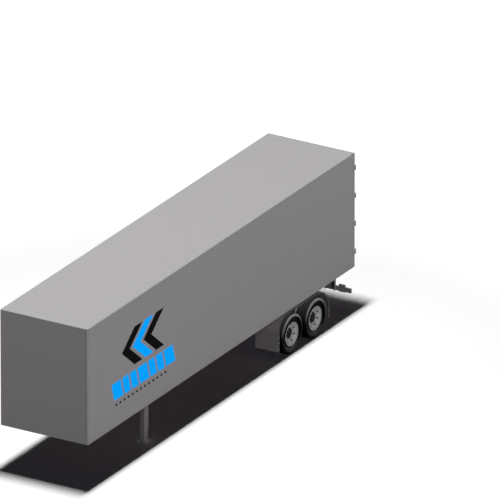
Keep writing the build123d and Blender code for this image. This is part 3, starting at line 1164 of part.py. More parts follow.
# ---------------------------------------------------------------- air tank
# A domed cylinder across the frame's middle, held up by two straps.
TANK_X = FRONT_AXLE_X + TANK_AHEAD_OF_AXLE
TANK_Z = UNDERSIDE_HEIGHT - TANK_DROP - TANK_RADIUS
tank_ends = (TANK_X - TANK_LENGTH / 2, TANK_X + TANK_LENGTH / 2)
tank = rod_x(TANK_RADIUS, tank_ends, 0, TANK_Z)
tank = fillet(tank.edges().filter_by(GeomType.CIRCLE), TANK_DOME)
straps = []
for x in (TANK_X - TANK_STRAP_PITCH / 2, TANK_X + TANK_STRAP_PITCH / 2):
    strap_x = (x - TANK_STRAP_WIDTH / 2, x + TANK_STRAP_WIDTH / 2)
    strap = rod_x(TANK_RADIUS + TANK_STRAP, strap_x, 0, TANK_Z)
    for y in (-TANK_RADIUS - TANK_STRAP, TANK_RADIUS):
        strap = strap + block(strap_x, (y, y + TANK_STRAP), (TANK_Z, UNDERSIDE_HEIGHT))
    straps.append(strap - rod_x(TANK_RADIUS, strap_x, 0, TANK_Z))
save("air_tank", tank, *straps)
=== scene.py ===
import math

import bmesh
import bpy
from mathutils import Matrix, Vector


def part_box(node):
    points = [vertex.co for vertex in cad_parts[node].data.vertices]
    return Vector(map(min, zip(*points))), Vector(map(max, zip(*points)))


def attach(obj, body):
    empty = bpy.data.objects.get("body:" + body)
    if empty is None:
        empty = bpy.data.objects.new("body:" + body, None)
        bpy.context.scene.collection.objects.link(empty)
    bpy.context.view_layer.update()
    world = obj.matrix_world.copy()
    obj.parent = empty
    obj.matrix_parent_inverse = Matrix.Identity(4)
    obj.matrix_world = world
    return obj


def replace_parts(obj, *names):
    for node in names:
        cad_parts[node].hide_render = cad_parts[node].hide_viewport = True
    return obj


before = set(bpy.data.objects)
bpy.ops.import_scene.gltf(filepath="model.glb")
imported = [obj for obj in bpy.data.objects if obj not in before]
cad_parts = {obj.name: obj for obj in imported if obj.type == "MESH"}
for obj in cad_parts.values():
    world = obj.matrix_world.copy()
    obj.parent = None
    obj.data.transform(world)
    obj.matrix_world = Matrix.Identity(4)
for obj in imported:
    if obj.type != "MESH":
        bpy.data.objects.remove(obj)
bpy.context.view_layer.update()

# ------------------------------------------------------------------ body shell
# The van body is flat sheet on posts and rails, all sprayed one satin grey. The paint has a faint
# orange peel, and road film has settled on it, more towards the foot of the walls. Inside, the walls
# are lined with plywood sheets.
BODY_GREY = 0.267
BODY_ROUGHNESS = 0.46
PEEL_SIZE = 260
PEEL_DEPTH = 0.00004
FILM_REACH = 0.9
FILM_THICK, FILM_THIN = 0.10, 0.03
FILM_BROWN = (0.17, 0.155, 0.135, 1)
WALL_SKIN = 0.004
LINER_PALE = (0.50, 0.36, 0.22, 1)
LINER_DARK = (0.36, 0.24, 0.13, 1)
LINER_SEAM = (0.06, 0.045, 0.03, 1)
LINER_SHEET = 1.22
LINER_JOINT = 0.004
LINER_BELOW_FLOOR = 0.05

low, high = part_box("bottom_rails")
BODY_FOOT = low[2]
BODY_HALF = high[1]
WALL_Z = (high[2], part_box("top_rails")[0][2])
low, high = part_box("side_wall_left")
SHELL_X = (low[0], high[0])
WALL_OUTER = high[1]
NOSE_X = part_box("front_frame")[1][0]
ROOF_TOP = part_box("roof_sheet")[1][2]
FLOOR_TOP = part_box("floor_deck")[1][2]


class Socket:
    """An output of a finish's nodes. Python's operators on it add Math nodes."""

    def __init__(self, finish, out):
        self.finish = finish
        self.out = out

    def math(self, operation, *values):
        """The output of a Math node with these values or links."""
        return self.finish.node("ShaderNodeMath", {"operation": operation}, dict(enumerate(values)))

    def __add__(self, other):
        return self.math("ADD", self, other)

    def __sub__(self, other):
        return self.math("SUBTRACT", self, other)

    def __rsub__(self, other):
        return self.math("SUBTRACT", other, self)

    def __mul__(self, other):
        return self.math("MULTIPLY", self, other)

    def __truediv__(self, other):
        return self.math("DIVIDE", self, other)

    def __pow__(self, other):
        return self.math("POWER", self, other)

    def __mod__(self, other):
        return self.math("FLOORED_MODULO", self, other)

    def __gt__(self, other):
        return self.math("GREATER_THAN", self, other)

    def __lt__(self, other):
        return self.math("LESS_THAN", self, other)

    def __abs__(self):
        return self.math("ABSOLUTE", self)

    def whole(self):
        """The value rounded down."""
        return self.math("FLOOR", self)

    def wave(self):
        """The sine of the value, in radians."""
        return self.math("SINE", self)

    def held(self):
        """The value kept between 0 and 1."""
        return self.finish.node("ShaderNodeClamp", {}, {0: self})

    __radd__ = __add__
    __rmul__ = __mul__


class Finish:
    """A material with a Principled shader and one method that adds any other node."""

    def __init__(self, name, metallic=0.0, specular=0.5):
        self.material = bpy.data.materials.new(name)
        self.material.use_nodes = True
        self.tree = self.material.node_tree
        self.shader = self.tree.nodes["Principled BSDF"]
        self.feed(Metallic=metallic, Specular_IOR_Level=specular)

    def node(self, kind, settings, values, output=0):
        """Adds a node with its settings and the values or links of its sockets."""
        made = self.tree.nodes.new(kind)
        for name, setting in settings.items():
            setattr(made, name, setting)
        for key, value in values.items():
            self.set(made.inputs[key], value)
        return Socket(self, made.outputs[output])

    def set(self, entry, value):
        """Links a socket to another one, or sets its value."""
        if isinstance(value, Socket):
            self.tree.links.new(value.out, entry)
        else:
            entry.default_value = value

    def feed(self, **entries):
        """Sets or links the shader's own sockets, such as Base_Color."""
        for name, value in entries.items():
            self.set(self.shader.inputs[name.replace("_", " ")], value)

    def place(self, stretch=(1, 1, 1)):
        """Places on the piece, in metres, stretched along each axis."""
        here = self.node("ShaderNodeTexCoord", {}, {}, "Object")
        return self.node("ShaderNodeMapping", {}, {"Vector": here, "Scale": stretch})

    def axis(self, letter):
        """The place on the piece along one axis, in metres."""
        here = self.node("ShaderNodeTexCoord", {}, {}, "Object")
        return self.node("ShaderNodeSeparateXYZ", {}, {0: here}, letter)

    def noise(self, scale, detail=4, stretch=(1, 1, 1)):
        """A cloudy pattern from 0 to 1, with so many waves a metre."""
        values = {"Vector": self.place(stretch), "Scale": scale, "Detail": detail}
        return self.node("ShaderNodeTexNoise", {}, values)

    def spots(self, scale, size):
        """Islands of 1 on 0, where a coarse noise is high; a size of 1 covers everything."""
        return ((self.noise(scale, detail=5) - (0.75 - size * 0.5)) * 9).held()

    def mix(self, factor, first, second):
        """A colour that goes from the first to the second as the factor goes from 0 to 1."""
        values = {0: factor, 6: first, 7: second}
        return self.node("ShaderNodeMix", {"data_type": "RGBA"}, values, 2)

    def edge_wear(self, width):
        """Nearly 1 along the sharp edges of the piece, within a width in metres."""
        bevel = self.node("ShaderNodeBevel", {"samples": 4}, {"Radius": width})
        flat = self.node("ShaderNodeNewGeometry", {}, {}, "Normal")
        alike = self.node("ShaderNodeVectorMath", {"operation": "DOT_PRODUCT"}, {0: bevel, 1: flat}, "Value")
        return ((1 - alike) * 6).held()

    def bump(self, height, depth):
        """Raises the surface by height times depth, in metres."""
        values = {"Height": height, "Distance": depth, "Strength": 1.0}
        self.feed(Normal=self.node("ShaderNodeBump", {}, values))


def grey(level, tint=0.018):
    """A grey with the faint magenta cast that all of this trailer's paints share."""
    return (level * (1 + tint), level * (1 - tint), level * (1 + tint), 1)


def body_coat(name, level, lining=None):
    """Satin body paint. lining gives an axis, a limit and a side, past which plywood shows."""
    finish = Finish(name, specular=0.3)
    low_down = (1 - (finish.axis("Z") - BODY_FOOT) / FILM_REACH).held()
    cloud = finish.noise(3.5, detail=6, stretch=(0.4, 0.4, 1.6))
    film = (low_down * low_down * FILM_THICK + FILM_THIN) * cloud
    coat = finish.mix(film, grey(level), FILM_BROWN)
    rough = film * 1.5 + BODY_ROUGHNESS
    if lining:
        letter, limit, side = lining
        inside = (finish.axis(letter) - limit) * side > 0
        inside = inside * (finish.axis("Z") > FLOOR_TOP - LINER_BELOW_FLOOR)
        grain = finish.noise(26, detail=8, stretch=(1.0, 1.0, 0.05))
        along = finish.axis("X" if letter == "Y" else "Y")
        joint = (along % LINER_SHEET) < LINER_JOINT
        sheet = finish.mix(grain, LINER_DARK, LINER_PALE)
        sheet = finish.mix(joint * 0.8, sheet, LINER_SEAM)
        coat = finish.mix(inside, coat, sheet)
        rough = rough + inside * 0.2
    finish.feed(Base_Color=coat, Roughness=rough)
    finish.bump(finish.noise(PEEL_SIZE, detail=2), PEEL_DEPTH)
    return finish.material


def dress(names, material):
    """Gives CAD nodes a finish."""
    for name in names:
        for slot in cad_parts[name].material_slots:
            slot.material = material


body_paint = body_coat("body paint", BODY_GREY)
dress(("top_rails", "bottom_rails", "front_frame", "rear_frame", "hinge_butts"), body_paint)
front_face, front_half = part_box("front_wall")[1][:2]
dress(("side_wall_left",), body_coat("left wall", BODY_GREY, ("Y", WALL_OUTER - WALL_SKIN, -1)))
dress(("side_wall_right",), body_coat("right wall", BODY_GREY, ("Y", WALL_SKIN - WALL_OUTER, 1)))
dress(("front_wall",), body_coat("front wall", BODY_GREY, ("X", front_face - WALL_SKIN, -1)))

# ------------------------------------------------------------------ rivets and lap joints of the shell
# The skins overlap at each post, where a thin lap strip covers the joint, and rows of button-head
# rivets hold them to posts and rails. All are sprayed over with the body.
RIVET_HEAD = (0.0065, 0.003575, 0.0028)  # radius at the foot, radius at the top, height
RIVET_PITCH = 0.102
LAP_PITCH = 1.219
LAP_WIDTH = 0.056
LAP_PROUD = 0.0008
RAIL_RIVET_INSET = 0.022
WASHER_FACETS = 12
GRAPHIC_FROM_NOSE = (1.05, 4.15)
GRAPHIC_ABOVE_FOOT = (0.66, 2.32)


def add_object(name, data):
    """Puts a mesh, a lamp or a camera in the scene."""
    made = bpy.data.objects.new(name, data)
    bpy.context.collection.objects.link(made)
    return made


def outward_mesh(name, shape):
    """Keeps a shape as a mesh whose faces point outwards."""
    bmesh.ops.recalc_face_normals(shape, faces=shape.faces)
    mesh = bpy.data.meshes.new(name)
    shape.to_mesh(mesh)
    shape.free()
    return mesh


def new_piece(name, mesh, body, material=None):
    """Makes a piece of a finished mesh, riding on a body."""
    piece = add_object(name, mesh)
    if material:
        mesh.materials.clear()
        mesh.materials.append(material)
    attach(piece, body)
    return piece


def start_tree(name, inputs):
    """A Geometry Nodes tree with a geometry socket at each end and named inputs."""
    tree = bpy.data.node_groups.new(name, "GeometryNodeTree")
    tree.interface.new_socket("Geometry", in_out="INPUT", socket_type="NodeSocketGeometry")
    for entry, kind in inputs:
        tree.interface.new_socket(entry, in_out="INPUT", socket_type="NodeSocket" + kind)
    tree.interface.new_socket("Geometry", in_out="OUTPUT", socket_type="NodeSocketGeometry")
    return tree


def add_node(tree, kind, settings, values):
    """Adds a node; a value that is a socket of another node is linked."""
    node = tree.nodes.new(kind)
    for name, setting in settings.items():
        setattr(node, name, setting)
    for key, value in values.items():
        if isinstance(value, bpy.types.NodeSocket):
            tree.links.new(value, node.inputs[key])
        else:
            node.inputs[key].default_value = value
    return node


def plain_mesh(holder):
    """The mesh that an object's modifiers make of it."""
    evaluated = holder.evaluated_get(bpy.context.evaluated_depsgraph_get())
    mesh = bpy.data.meshes.new_from_object(evaluated)
    holder.modifiers.clear()
    bpy.data.objects.remove(holder)
    return mesh


def grow(name, tree, places, label, directions, settings, body):
    """Runs a tree on seed points, each with a direction under a label, and keeps the result."""
    seed = bpy.data.meshes.new(name)
    seed.from_pydata(places, [], [])
    attribute = seed.attributes.new(label, "FLOAT_VECTOR", "POINT")
    for item, direction in zip(attribute.data, directions):
        item.vector = direction
    holder = add_object(name + "_seed", seed)
    modifier = holder.modifiers.new("shape", "NODES")
    modifier.node_group = tree
    for item in tree.interface.items_tree:
        if item.in_out == "INPUT" and item.name in settings:
            modifier[item.identifier] = settings[item.name]
    return new_piece(name, plain_mesh(holder), body)


def direction_of(tree, label):
    """The direction that each seed point carries under a label."""
    kind = "GeometryNodeInputNamedAttribute"
    return add_node(tree, kind, {"data_type": "FLOAT_VECTOR"}, {"Name": label}).outputs[0]


def set_on_points(tree, given, shape, turn):
    """Sets a turned copy of a shape on every seed point, as real faces of the given material."""
    placed = add_node(tree, "GeometryNodeInstanceOnPoints", {}, {
        "Points": given["Geometry"], "Instance": shape, "Rotation": turn,
    })
    real = add_node(tree, "GeometryNodeRealizeInstances", {}, {0: placed.outputs[0]})
    coated = add_node(tree, "GeometryNodeSetMaterial", {}, {
        "Geometry": real.outputs[0], "Material": given["Material"],
    })
    result = tree.nodes.new("NodeGroupOutput")
    tree.links.new(coated.outputs[0], result.inputs[0])
    return tree


def fastener_tree():
    """Puts a head on a washer at every point, turned to the point's own facing."""
    tree = start_tree("fastener heads", (
        ("Radius", "Float"), ("Top Radius", "Float"), ("Height", "Float"), ("Facets", "Int"),
        ("Washer Radius", "Float"), ("Washer Height", "Float"), ("Material", "Material"),
    ))
    given = tree.nodes.new("NodeGroupInput").outputs
    head = add_node(tree, "GeometryNodeMeshCone", {}, {
        "Vertices": given["Facets"], "Radius Bottom": given["Radius"],
        "Radius Top": given["Top Radius"], "Depth": given["Height"],
    })
    lift = add_node(tree, "ShaderNodeCombineXYZ", {}, {"Z": given["Washer Height"]})
    raised = add_node(tree, "GeometryNodeTransform", {}, {
        "Geometry": head.outputs["Mesh"], "Translation": lift.outputs[0],
    })
    washer = add_node(tree, "GeometryNodeMeshCone", {}, {
        "Vertices": WASHER_FACETS, "Radius Bottom": given["Washer Radius"],
        "Radius Top": given["Washer Radius"], "Depth": given["Washer Height"],
    })
    both = tree.nodes.new("GeometryNodeJoinGeometry")
    tree.links.new(raised.outputs[0], both.inputs[0])
    tree.links.new(washer.outputs["Mesh"], both.inputs[0])
    turn = add_node(tree, "FunctionNodeAlignRotationToVector", {"axis": "Z"}, {
        "Vector": direction_of(tree, "facing"),
    })
    return set_on_points(tree, given, both.outputs[0], turn.outputs[0])


HEADS = fastener_tree()


def fasten(name, points, body, material, head, facets=8, washer=(0.0, 0.0)):
    """Fits fasteners at (place, facing) pairs.

    head is the radius at the foot, the radius at the top and the height; washer is a radius and a
    height."""
    settings = {
        "Radius": head[0], "Top Radius": head[1], "Height": head[2], "Facets": facets,
        "Washer Radius": washer[0], "Washer Height": washer[1], "Material": material,
    }
    places, facings = zip(*points)
    return grow(name, HEADS, places, "facing", facings, settings, body)


def steps(start, end, pitch):
    """Evenly spaced places from start to end, nearly pitch apart."""
    count = max(1, round(abs(end - start) / pitch))
    return [start + (end - start) * step / count for step in range(count + 1)]


def plates(name, boxes, body, material):
    """One mesh of closed boxes, each given by its lowest and highest corners."""
    shape = bmesh.new()
    for low, high in boxes:
        size = [b - a for a, b in zip(low, high)]
        middle = [(a + b) / 2 for a, b in zip(low, high)]
        bmesh.ops.create_cube(shape, size=1, matrix=Matrix.Translation(middle) @ Matrix.Diagonal((*size, 1)))
    return new_piece(name, outward_mesh(name, shape), body, material)


def under_graphic(place):
    """Whether the left side's graphic covers a place, so that its rivets lie flush beneath."""
    behind_nose, above_foot = NOSE_X - place[0], place[2] - BODY_FOOT
    return (GRAPHIC_FROM_NOSE[0] < behind_nose < GRAPHIC_FROM_NOSE[1]
            and GRAPHIC_ABOVE_FOOT[0] < above_foot < GRAPHIC_ABOVE_FOOT[1])


lap_places = steps(SHELL_X[0] + LAP_PITCH / 2, SHELL_X[1] - LAP_PITCH / 2, LAP_PITCH)
joint_rows = steps(WALL_Z[0] + RAIL_RIVET_INSET, WALL_Z[1] - RAIL_RIVET_INSET, RIVET_PITCH)
rail_rows = (WALL_Z[0] - RAIL_RIVET_INSET, WALL_Z[1] + RAIL_RIVET_INSET)
laps = []
rivets = []
for side in (-1, 1):
    face = side * WALL_OUTER
    for x in lap_places:
        laps.append(((x - LAP_WIDTH / 2, face - LAP_PROUD, WALL_Z[0]),
                     (x + LAP_WIDTH / 2, face + LAP_PROUD, WALL_Z[1])))
        for z in joint_rows:
            for step in (-1, 1):
                place = (x + step * LAP_WIDTH / 4, face + side * LAP_PROUD, z)
                if side < 0 or not under_graphic(place):
                    rivets.append((place, (0, side, 0)))
    for z in rail_rows:
        for x in steps(SHELL_X[0] + RIVET_PITCH, SHELL_X[1] - RIVET_PITCH, RIVET_PITCH):
            rivets.append(((x, side * BODY_HALF, z), (0, side, 0)))
for y in (-front_half / 3, front_half / 3):
    laps.append(((front_face - LAP_PROUD, y - LAP_WIDTH / 2, WALL_Z[0]),
                 (front_face + LAP_PROUD, y + LAP_WIDTH / 2, WALL_Z[1])))
    for z in joint_rows:
        for step in (-1, 1):
            rivets.append(((front_face + LAP_PROUD, y + step * LAP_WIDTH / 4, z), (1, 0, 0)))
for z in rail_rows:
    for y in steps(-front_half + RIVET_PITCH / 2, front_half - RIVET_PITCH / 2, RIVET_PITCH):
        rivets.append(((NOSE_X, y, z), (1, 0, 0)))
plates("body_lap_strips", laps, "chassis", body_paint)
fasten("body_rivets", rivets, "chassis", body_paint, RIVET_HEAD)

# ------------------------------------------------------------------ side graphic
# A cut vinyl graphic on the left side: three nested chevrons, a band of leaning bars below them and
# a row of short dashes. It is laid on flat, and its film is a little glossier than the paint.
VINYL_PROUD = 0.0018
VINYL_ROUGHNESS = 0.30
VINYL_BLUE = (0.0, 0.352, 1.0)
VINYL_BLACK = (0.006, 0.006, 0.007)
# The blue film's glow is painted light that keeps the blue brighter than the lamps make it.
BLUE_PAINTED_GLOW = 0.45
CHEVRONS_FROM_NOSE = (1.60, 3.57)
CHEVRONS_ABOVE_FOOT = (1.30, 2.28)
CHEVRON_REACH = 0.591
CHEVRON_THICKNESS = 0.36642
BARS_FROM_NOSE = (1.11, 4.10)
BARS_ABOVE_FOOT = (0.70, 1.15)
BAR_SHARES = (3, 2, 2, 3, 2, 2, 3)
BAR_GAP = 0.075
BAR_LEAN = 0.13
DASH_ABOVE_FOOT = (0.53, 0.585)
DASH_FROM_NOSE = (1.30, 3.60)
DASH_LENGTH = 0.075
DASH_PITCH = 0.19


def vinyl(name, colour, glow=0.0):
    """Cast film, faintly rippled, with a thin road film over it. A glow is painted light: the film emits
    light though it is no lamp.
    """
    finish = Finish(name, specular=0)
    haze = finish.noise(6, detail=5, stretch=(0.5, 1, 2)) * 0.05
    coat = finish.mix(haze, (*colour, 1), FILM_BROWN)
    finish.feed(Base_Color=coat, Roughness=haze + VINYL_ROUGHNESS)
    # The emission is painted light, a glow on film that is no lamp.
    finish.feed(Emission_Color=(*colour, 1), Emission_Strength=glow)
    finish.bump(finish.noise(40, detail=2), depth=0.00006)
    return finish.material


def cut_film(name, outlines, material):
    """Flat shapes on the left wall, each an outline of (distance behind the nose, height above the foot)."""
    shape = bmesh.new()
    for outline in outlines:
        rings = []
        for y in (WALL_OUTER, WALL_OUTER + VINYL_PROUD):
            rings.append([shape.verts.new((NOSE_X - a, y, BODY_FOOT + b)) for a, b in outline])
        shape.faces.new(rings[0])
        shape.faces.new(rings[1][::-1])
        for here in range(len(outline)):
            there = (here + 1) % len(outline)
            shape.faces.new((rings[0][here], rings[1][here], rings[1][there], rings[0][there]))
    return new_piece(name, outward_mesh(name, shape), "chassis", material)


front, rear = CHEVRONS_FROM_NOSE
foot, top = CHEVRONS_ABOVE_FOOT
waist = (foot + top) / 2
chevrons = []
for step in range(3):
    tip = front + step * (rear - front - CHEVRON_REACH - CHEVRON_THICKNESS) / 2
    ends = tip + CHEVRON_REACH
    chevrons.append((
        (ends, foot), (ends + CHEVRON_THICKNESS, foot), (tip + CHEVRON_THICKNESS, waist),
        (ends + CHEVRON_THICKNESS, top), (ends, top), (tip, waist),
    ))
blue_film = vinyl("blue vinyl", VINYL_BLUE, BLUE_PAINTED_GLOW)
black_film = vinyl("black vinyl", VINYL_BLACK)
cut_film("side_graphic_chevrons_black", chevrons[::2], black_film)
cut_film("side_graphic_chevron_blue", chevrons[1:2], blue_film)

front, rear = BARS_FROM_NOSE
foot, top = BARS_ABOVE_FOOT
unit = (rear - front - BAR_LEAN - BAR_GAP * (len(BAR_SHARES) - 1)) / sum(BAR_SHARES)
bars = []
start = front
for share in BAR_SHARES:
    end = start + share * unit
    bars.append(((start + BAR_LEAN, foot), (end + BAR_LEAN, foot), (end, top), (start, top)))
    start = end + BAR_GAP
cut_film("side_graphic_bars", bars, blue_film)
dashes = [
    ((start, DASH_ABOVE_FOOT[0]), (start + DASH_LENGTH, DASH_ABOVE_FOOT[0]),
     (start + DASH_LENGTH, DASH_ABOVE_FOOT[1]), (start, DASH_ABOVE_FOOT[1]))
    for start in steps(*DASH_FROM_NOSE, DASH_PITCH)
]
cut_film("side_graphic_dashes", dashes, black_film)

# ------------------------------------------------------------------ roof and bows
# One sheet of aluminium, lapped and sealed over hat-section bows. Low seams run across it, and its
# edge strips are held to the top rails by rivets.
# The roof is painted a darker grey than the walls. This is painted shade that takes the overhead lamp's
# light down on the top.
ROOF_SHADED_GREY = 0.237
SEAM_WIDTH = 0.030
SEAM_PROUD = 0.0008
MILL_DARK = (0.50, 0.51, 0.52, 1)
MILL_BRIGHT = (0.66, 0.67, 0.68, 1)
roof_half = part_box("roof_sheet")[1][1]
seams = [
    ((x - SEAM_WIDTH / 2, -roof_half, ROOF_TOP - SEAM_PROUD),
     (x + SEAM_WIDTH / 2, roof_half, ROOF_TOP + SEAM_PROUD))
    for x in lap_places
]
# The roof's coat is the body paint made darker, as painted shade on the top.
roof_shaded_paint = body_coat("roof paint", ROOF_SHADED_GREY)
dress(("roof_sheet",), roof_shaded_paint)
plates("roof_seams", seams, "chassis", roof_shaded_paint)
roof_rivets = [
    ((x, side * (roof_half - RAIL_RIVET_INSET), ROOF_TOP), (0, 0, 1))
    for side in (-1, 1)
    for x in steps(*SHELL_X, RIVET_PITCH)
]
fasten("roof_rivets", roof_rivets, "chassis", roof_shaded_paint, RIVET_HEAD)

mill = Finish("mill aluminium", metallic=0.85)
streak = mill.noise(30, detail=6, stretch=(0.06, 1, 1))
mill.feed(Base_Color=mill.mix(streak, MILL_DARK, MILL_BRIGHT), Roughness=streak * 0.25 + 0.28)
mill.bump(streak, depth=0.00008)
dress(("roof_bows", "scuff_bands"), mill.material)

# ------------------------------------------------------------------ floor
# Laminated hardwood boards run the length of the van, ship-lapped, oiled and scuffed by pallet
# trucks, and screwed down into every cross beam.
BOARD_WIDTH = 0.305
BOARD_GAP = 0.003
LAMINATE_WIDTH = 0.028
WOOD_DARK = (0.20, 0.115, 0.055, 1)
WOOD_PALE = (0.43, 0.28, 0.15, 1)
SCUFF_GREY = (0.12, 0.10, 0.085, 1)
GAP_BLACK = (0.02, 0.015, 0.01, 1)
boards = Finish("floor boards")
across = boards.axis("Y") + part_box("floor_deck")[1][1]
strip = (across / LAMINATE_WIDTH).whole()
tone = boards.node("ShaderNodeTexWhiteNoise", {"noise_dimensions": "1D"}, {"W": strip})
grain = boards.noise(7, detail=9, stretch=(0.5, 20, 1))
wood = boards.mix((tone * 0.5 + grain * 0.5).held(), WOOD_DARK, WOOD_PALE)
gap = (across % BOARD_WIDTH) < BOARD_GAP
scuffs = boards.spots(5, size=0.45) * boards.noise(60, stretch=(0.2, 2, 1))
wood = boards.mix(scuffs * 0.5, wood, SCUFF_GREY)
boards.feed(Base_Color=boards.mix(gap, wood, GAP_BLACK), Roughness=grain * 0.3 + 0.45)
boards.bump(grain * 0.4 - gap * 3, depth=0.0006)
dress(("floor_deck",), boards.material)

# ------------------------------------------------------------------ steel finishes
# The chassis is painted black and the legs, guard and wheel covers dark grey, with road dust in
# patches and paint worn off the edges. The door hardware, the connectors and the bolts are hot-dip
# galvanised, and the kingpin and the hinge pins are bare machined steel.
ROAD_DUST = (0.13, 0.115, 0.095, 1)
CHIP_BROWN = (0.10, 0.075, 0.06, 1)
EDGE_WIDTH = 0.004
DARK_TINT = 0.045
# The lip's grey is painted shade. It darkens the lit outward face of the wheel covers' lip.
LIP_SHADE_GREY = 0.050
LIP_THICKNESS = 0.003
ZINC_DARK = (0.36, 0.37, 0.38, 1)
ZINC_BRIGHT = (0.50, 0.51, 0.52, 1)
ZINC_DULL = (0.30, 0.29, 0.28, 1)
STEEL_BRIGHT = (0.42, 0.41, 0.40, 1)
RUST_BROWN = (0.20, 0.11, 0.06, 1)


def steel_coat(name, level, roughness, dust, specular, wear=0.5, lip=None):
    """Sprayed paint on rolled steel; past the lip's distance from the middle it is painted darker, as
    painted shade on the lip's lit outward face.
    """
    finish = Finish(name, specular=specular)
    grime = finish.spots(7, size=0.55) * finish.noise(45, detail=5)
    paint = grey(level, DARK_TINT)
    if lip:
        paint = finish.mix(abs(finish.axis("Y")) > lip, paint, grey(LIP_SHADE_GREY, DARK_TINT))
    coat = finish.mix(grime * dust, paint, ROAD_DUST)
    worn = finish.edge_wear(EDGE_WIDTH) * finish.spots(30, size=0.5) * wear
    finish.feed(Base_Color=finish.mix(worn, coat, CHIP_BROWN), Roughness=grime * 0.25 + roughness)
    finish.bump(finish.noise(120, detail=3) + grime * 0.5, depth=0.00025)
    return finish.material


# Past this distance from the middle, the covers' outward face gets the lip's painted shade.
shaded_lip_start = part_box("wheel_cover_left")[1][1] - LIP_THICKNESS
chassis_paint = steel_coat("chassis paint", 0.012, roughness=0.5, dust=0.25, specular=0.04)
leg_paint = steel_coat("leg paint", 0.125, roughness=0.42, dust=0.3, specular=0.22)
guard_paint = steel_coat("guard paint", 0.16, roughness=0.45, dust=0.2, specular=0.15)
cover_paint = steel_coat("cover paint", 0.16, roughness=0.45, dust=0.2, specular=0.08, lip=shaded_lip_start)

galvanised = Finish("hot dip galvanised", metallic=0.7)
spangle = galvanised.node("ShaderNodeTexVoronoi", {}, {"Vector": galvanised.place(), "Scale": 90}, "Color")
spangle = galvanised.node("ShaderNodeSeparateColor", {}, {0: spangle})
dull = galvanised.spots(9, size=0.5)
zinc = galvanised.mix(spangle, ZINC_DARK, ZINC_BRIGHT)
galvanised.feed(Base_Color=galvanised.mix(dull * 0.5, zinc, ZINC_DULL), Roughness=spangle * 0.2 + 0.35)
galvanised.bump(galvanised.noise(200, detail=3), depth=0.00006)
zinc_coat = galvanised.material

bare = Finish("bare machined steel", metallic=0.9)
turned = bare.noise(18, detail=6, stretch=(8, 8, 60))
rust = bare.spots(14, size=0.4) * bare.noise(80)
bare.feed(Base_Color=bare.mix(rust, STEEL_BRIGHT, RUST_BROWN), Roughness=rust * 0.4 + 0.3)
bare.bump(turned, depth=0.00005)

dress((
    "crossmembers", "suspension_frame", "suspension_hangers", "leaf_springs", "equalizers",
    "radius_rods", "axle_front", "axle_rear", "brakes_front", "brakes_rear", "spring_clamps",
    "coupler_plate", "air_tank",
), chassis_paint)
dress((
    "landing_legs_outer", "landing_legs_inner", "landing_feet", "landing_braces",
    "landing_cross_shaft",
), leg_paint)
dress(("rear_guard", "lamp_boxes"), guard_paint)
dress(("wheel_cover_left", "wheel_cover_right"), cover_paint)
dress(("connectors", "door_hardware_left", "door_hardware_right"), zinc_coat)
dress(("kingpin", "hinge_pins"), bare.material)

# ------------------------------------------------------------------ bolts of the running gear
# Galvanised hexagon bolts and nuts on washers, under the axles, on the hangers' pins, and through
# the legs' top plates, the gearbox lid, the guard and the covers. The coupler plate is held by low
# rivets, painted with the chassis.
BOLT_RADIUS = 0.0105
BOLT_HEIGHT = 0.008
BOLT_TOP_SHARE = 0.92
WASHER_SHARES = (1.35, 0.2)
U_NUT_SCALE = 1.8
U_BOLT_PITCH = (0.153, 0.101)
U_BOLT_END = 0.020
PIN_NUT_SCALE = 2.2
PIN_DROP = 0.114
FRONT_PIN_INSET = 0.090
BEAM_PIN_DROP = 0.046
SPRING_WIDTH = 0.075
LEG_PLATE_WIDTH = 0.210
LEG_PLATE_THICKNESS = 0.012
LEG_BOLT_INSET = 0.018
SMALL_SCALE = 0.8
LEGS_FROM_NOSE = 3.3
GEARBOX_PROUD = 0.026
LID_DROP = 0.135
LID_BOLT_PITCH = (0.108, 0.148)
COUPLER_RIVET = (0.011, 0.006, 0.004)
COUPLER_ROWS = (-1.15, -0.62, 0.62, 1.15)
COUPLER_MARGIN = 0.05
COUPLER_RIVET_PITCH = 0.15
GUARD_BOLTS = (0.580, 0.557)
GUARD_BOLT_PITCH = (0.236, 0.060)
COVER_BOLT_INSET = 0.020
COVER_FRONT_ROWS = (0.36, 0.52, 0.68)
COVER_REAR_ROWS = (0.36, 0.50)
ENDS = ("front", "rear")
SIDES = (("left", 1), ("right", -1))
DOWN = (0, 0, -1)


def hex_bolts(name, points, body, scale=1.0):
    """Hexagon heads on washers at (place, facing) pairs."""
    radius, height = BOLT_RADIUS * scale, BOLT_HEIGHT * scale
    fasten(name, points, body, zinc_coat, (radius, radius * BOLT_TOP_SHARE, height),
           facets=6, washer=(radius * WASHER_SHARES[0], height * WASHER_SHARES[1]))


def grid(middle, pitch):
    """The four corners of a rectangle about a middle."""
    return [(middle[0] + a * pitch[0] / 2, middle[1] + b * pitch[1] / 2) for a in (-1, 1) for b in (-1, 1)]


def axle_centre(end):
    """The place of an axle's middle along X and Z."""
    low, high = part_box(f"wheels_{end}_left")
    return ((low[0] + high[0]) / 2, (low[2] + high[2]) / 2)


spring_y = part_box("leaf_springs")[1][1] - SPRING_WIDTH / 2
nut_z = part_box("spring_clamps")[0][2] + U_BOLT_END
u_nuts = [
    ((x, y, nut_z), DOWN)
    for end in ENDS
    for side in (-1, 1)
    for x, y in grid((axle_centre(end)[0], side * spring_y), U_BOLT_PITCH)
]
hex_bolts("u_bolt_nuts", u_nuts, "chassis", U_NUT_SCALE)

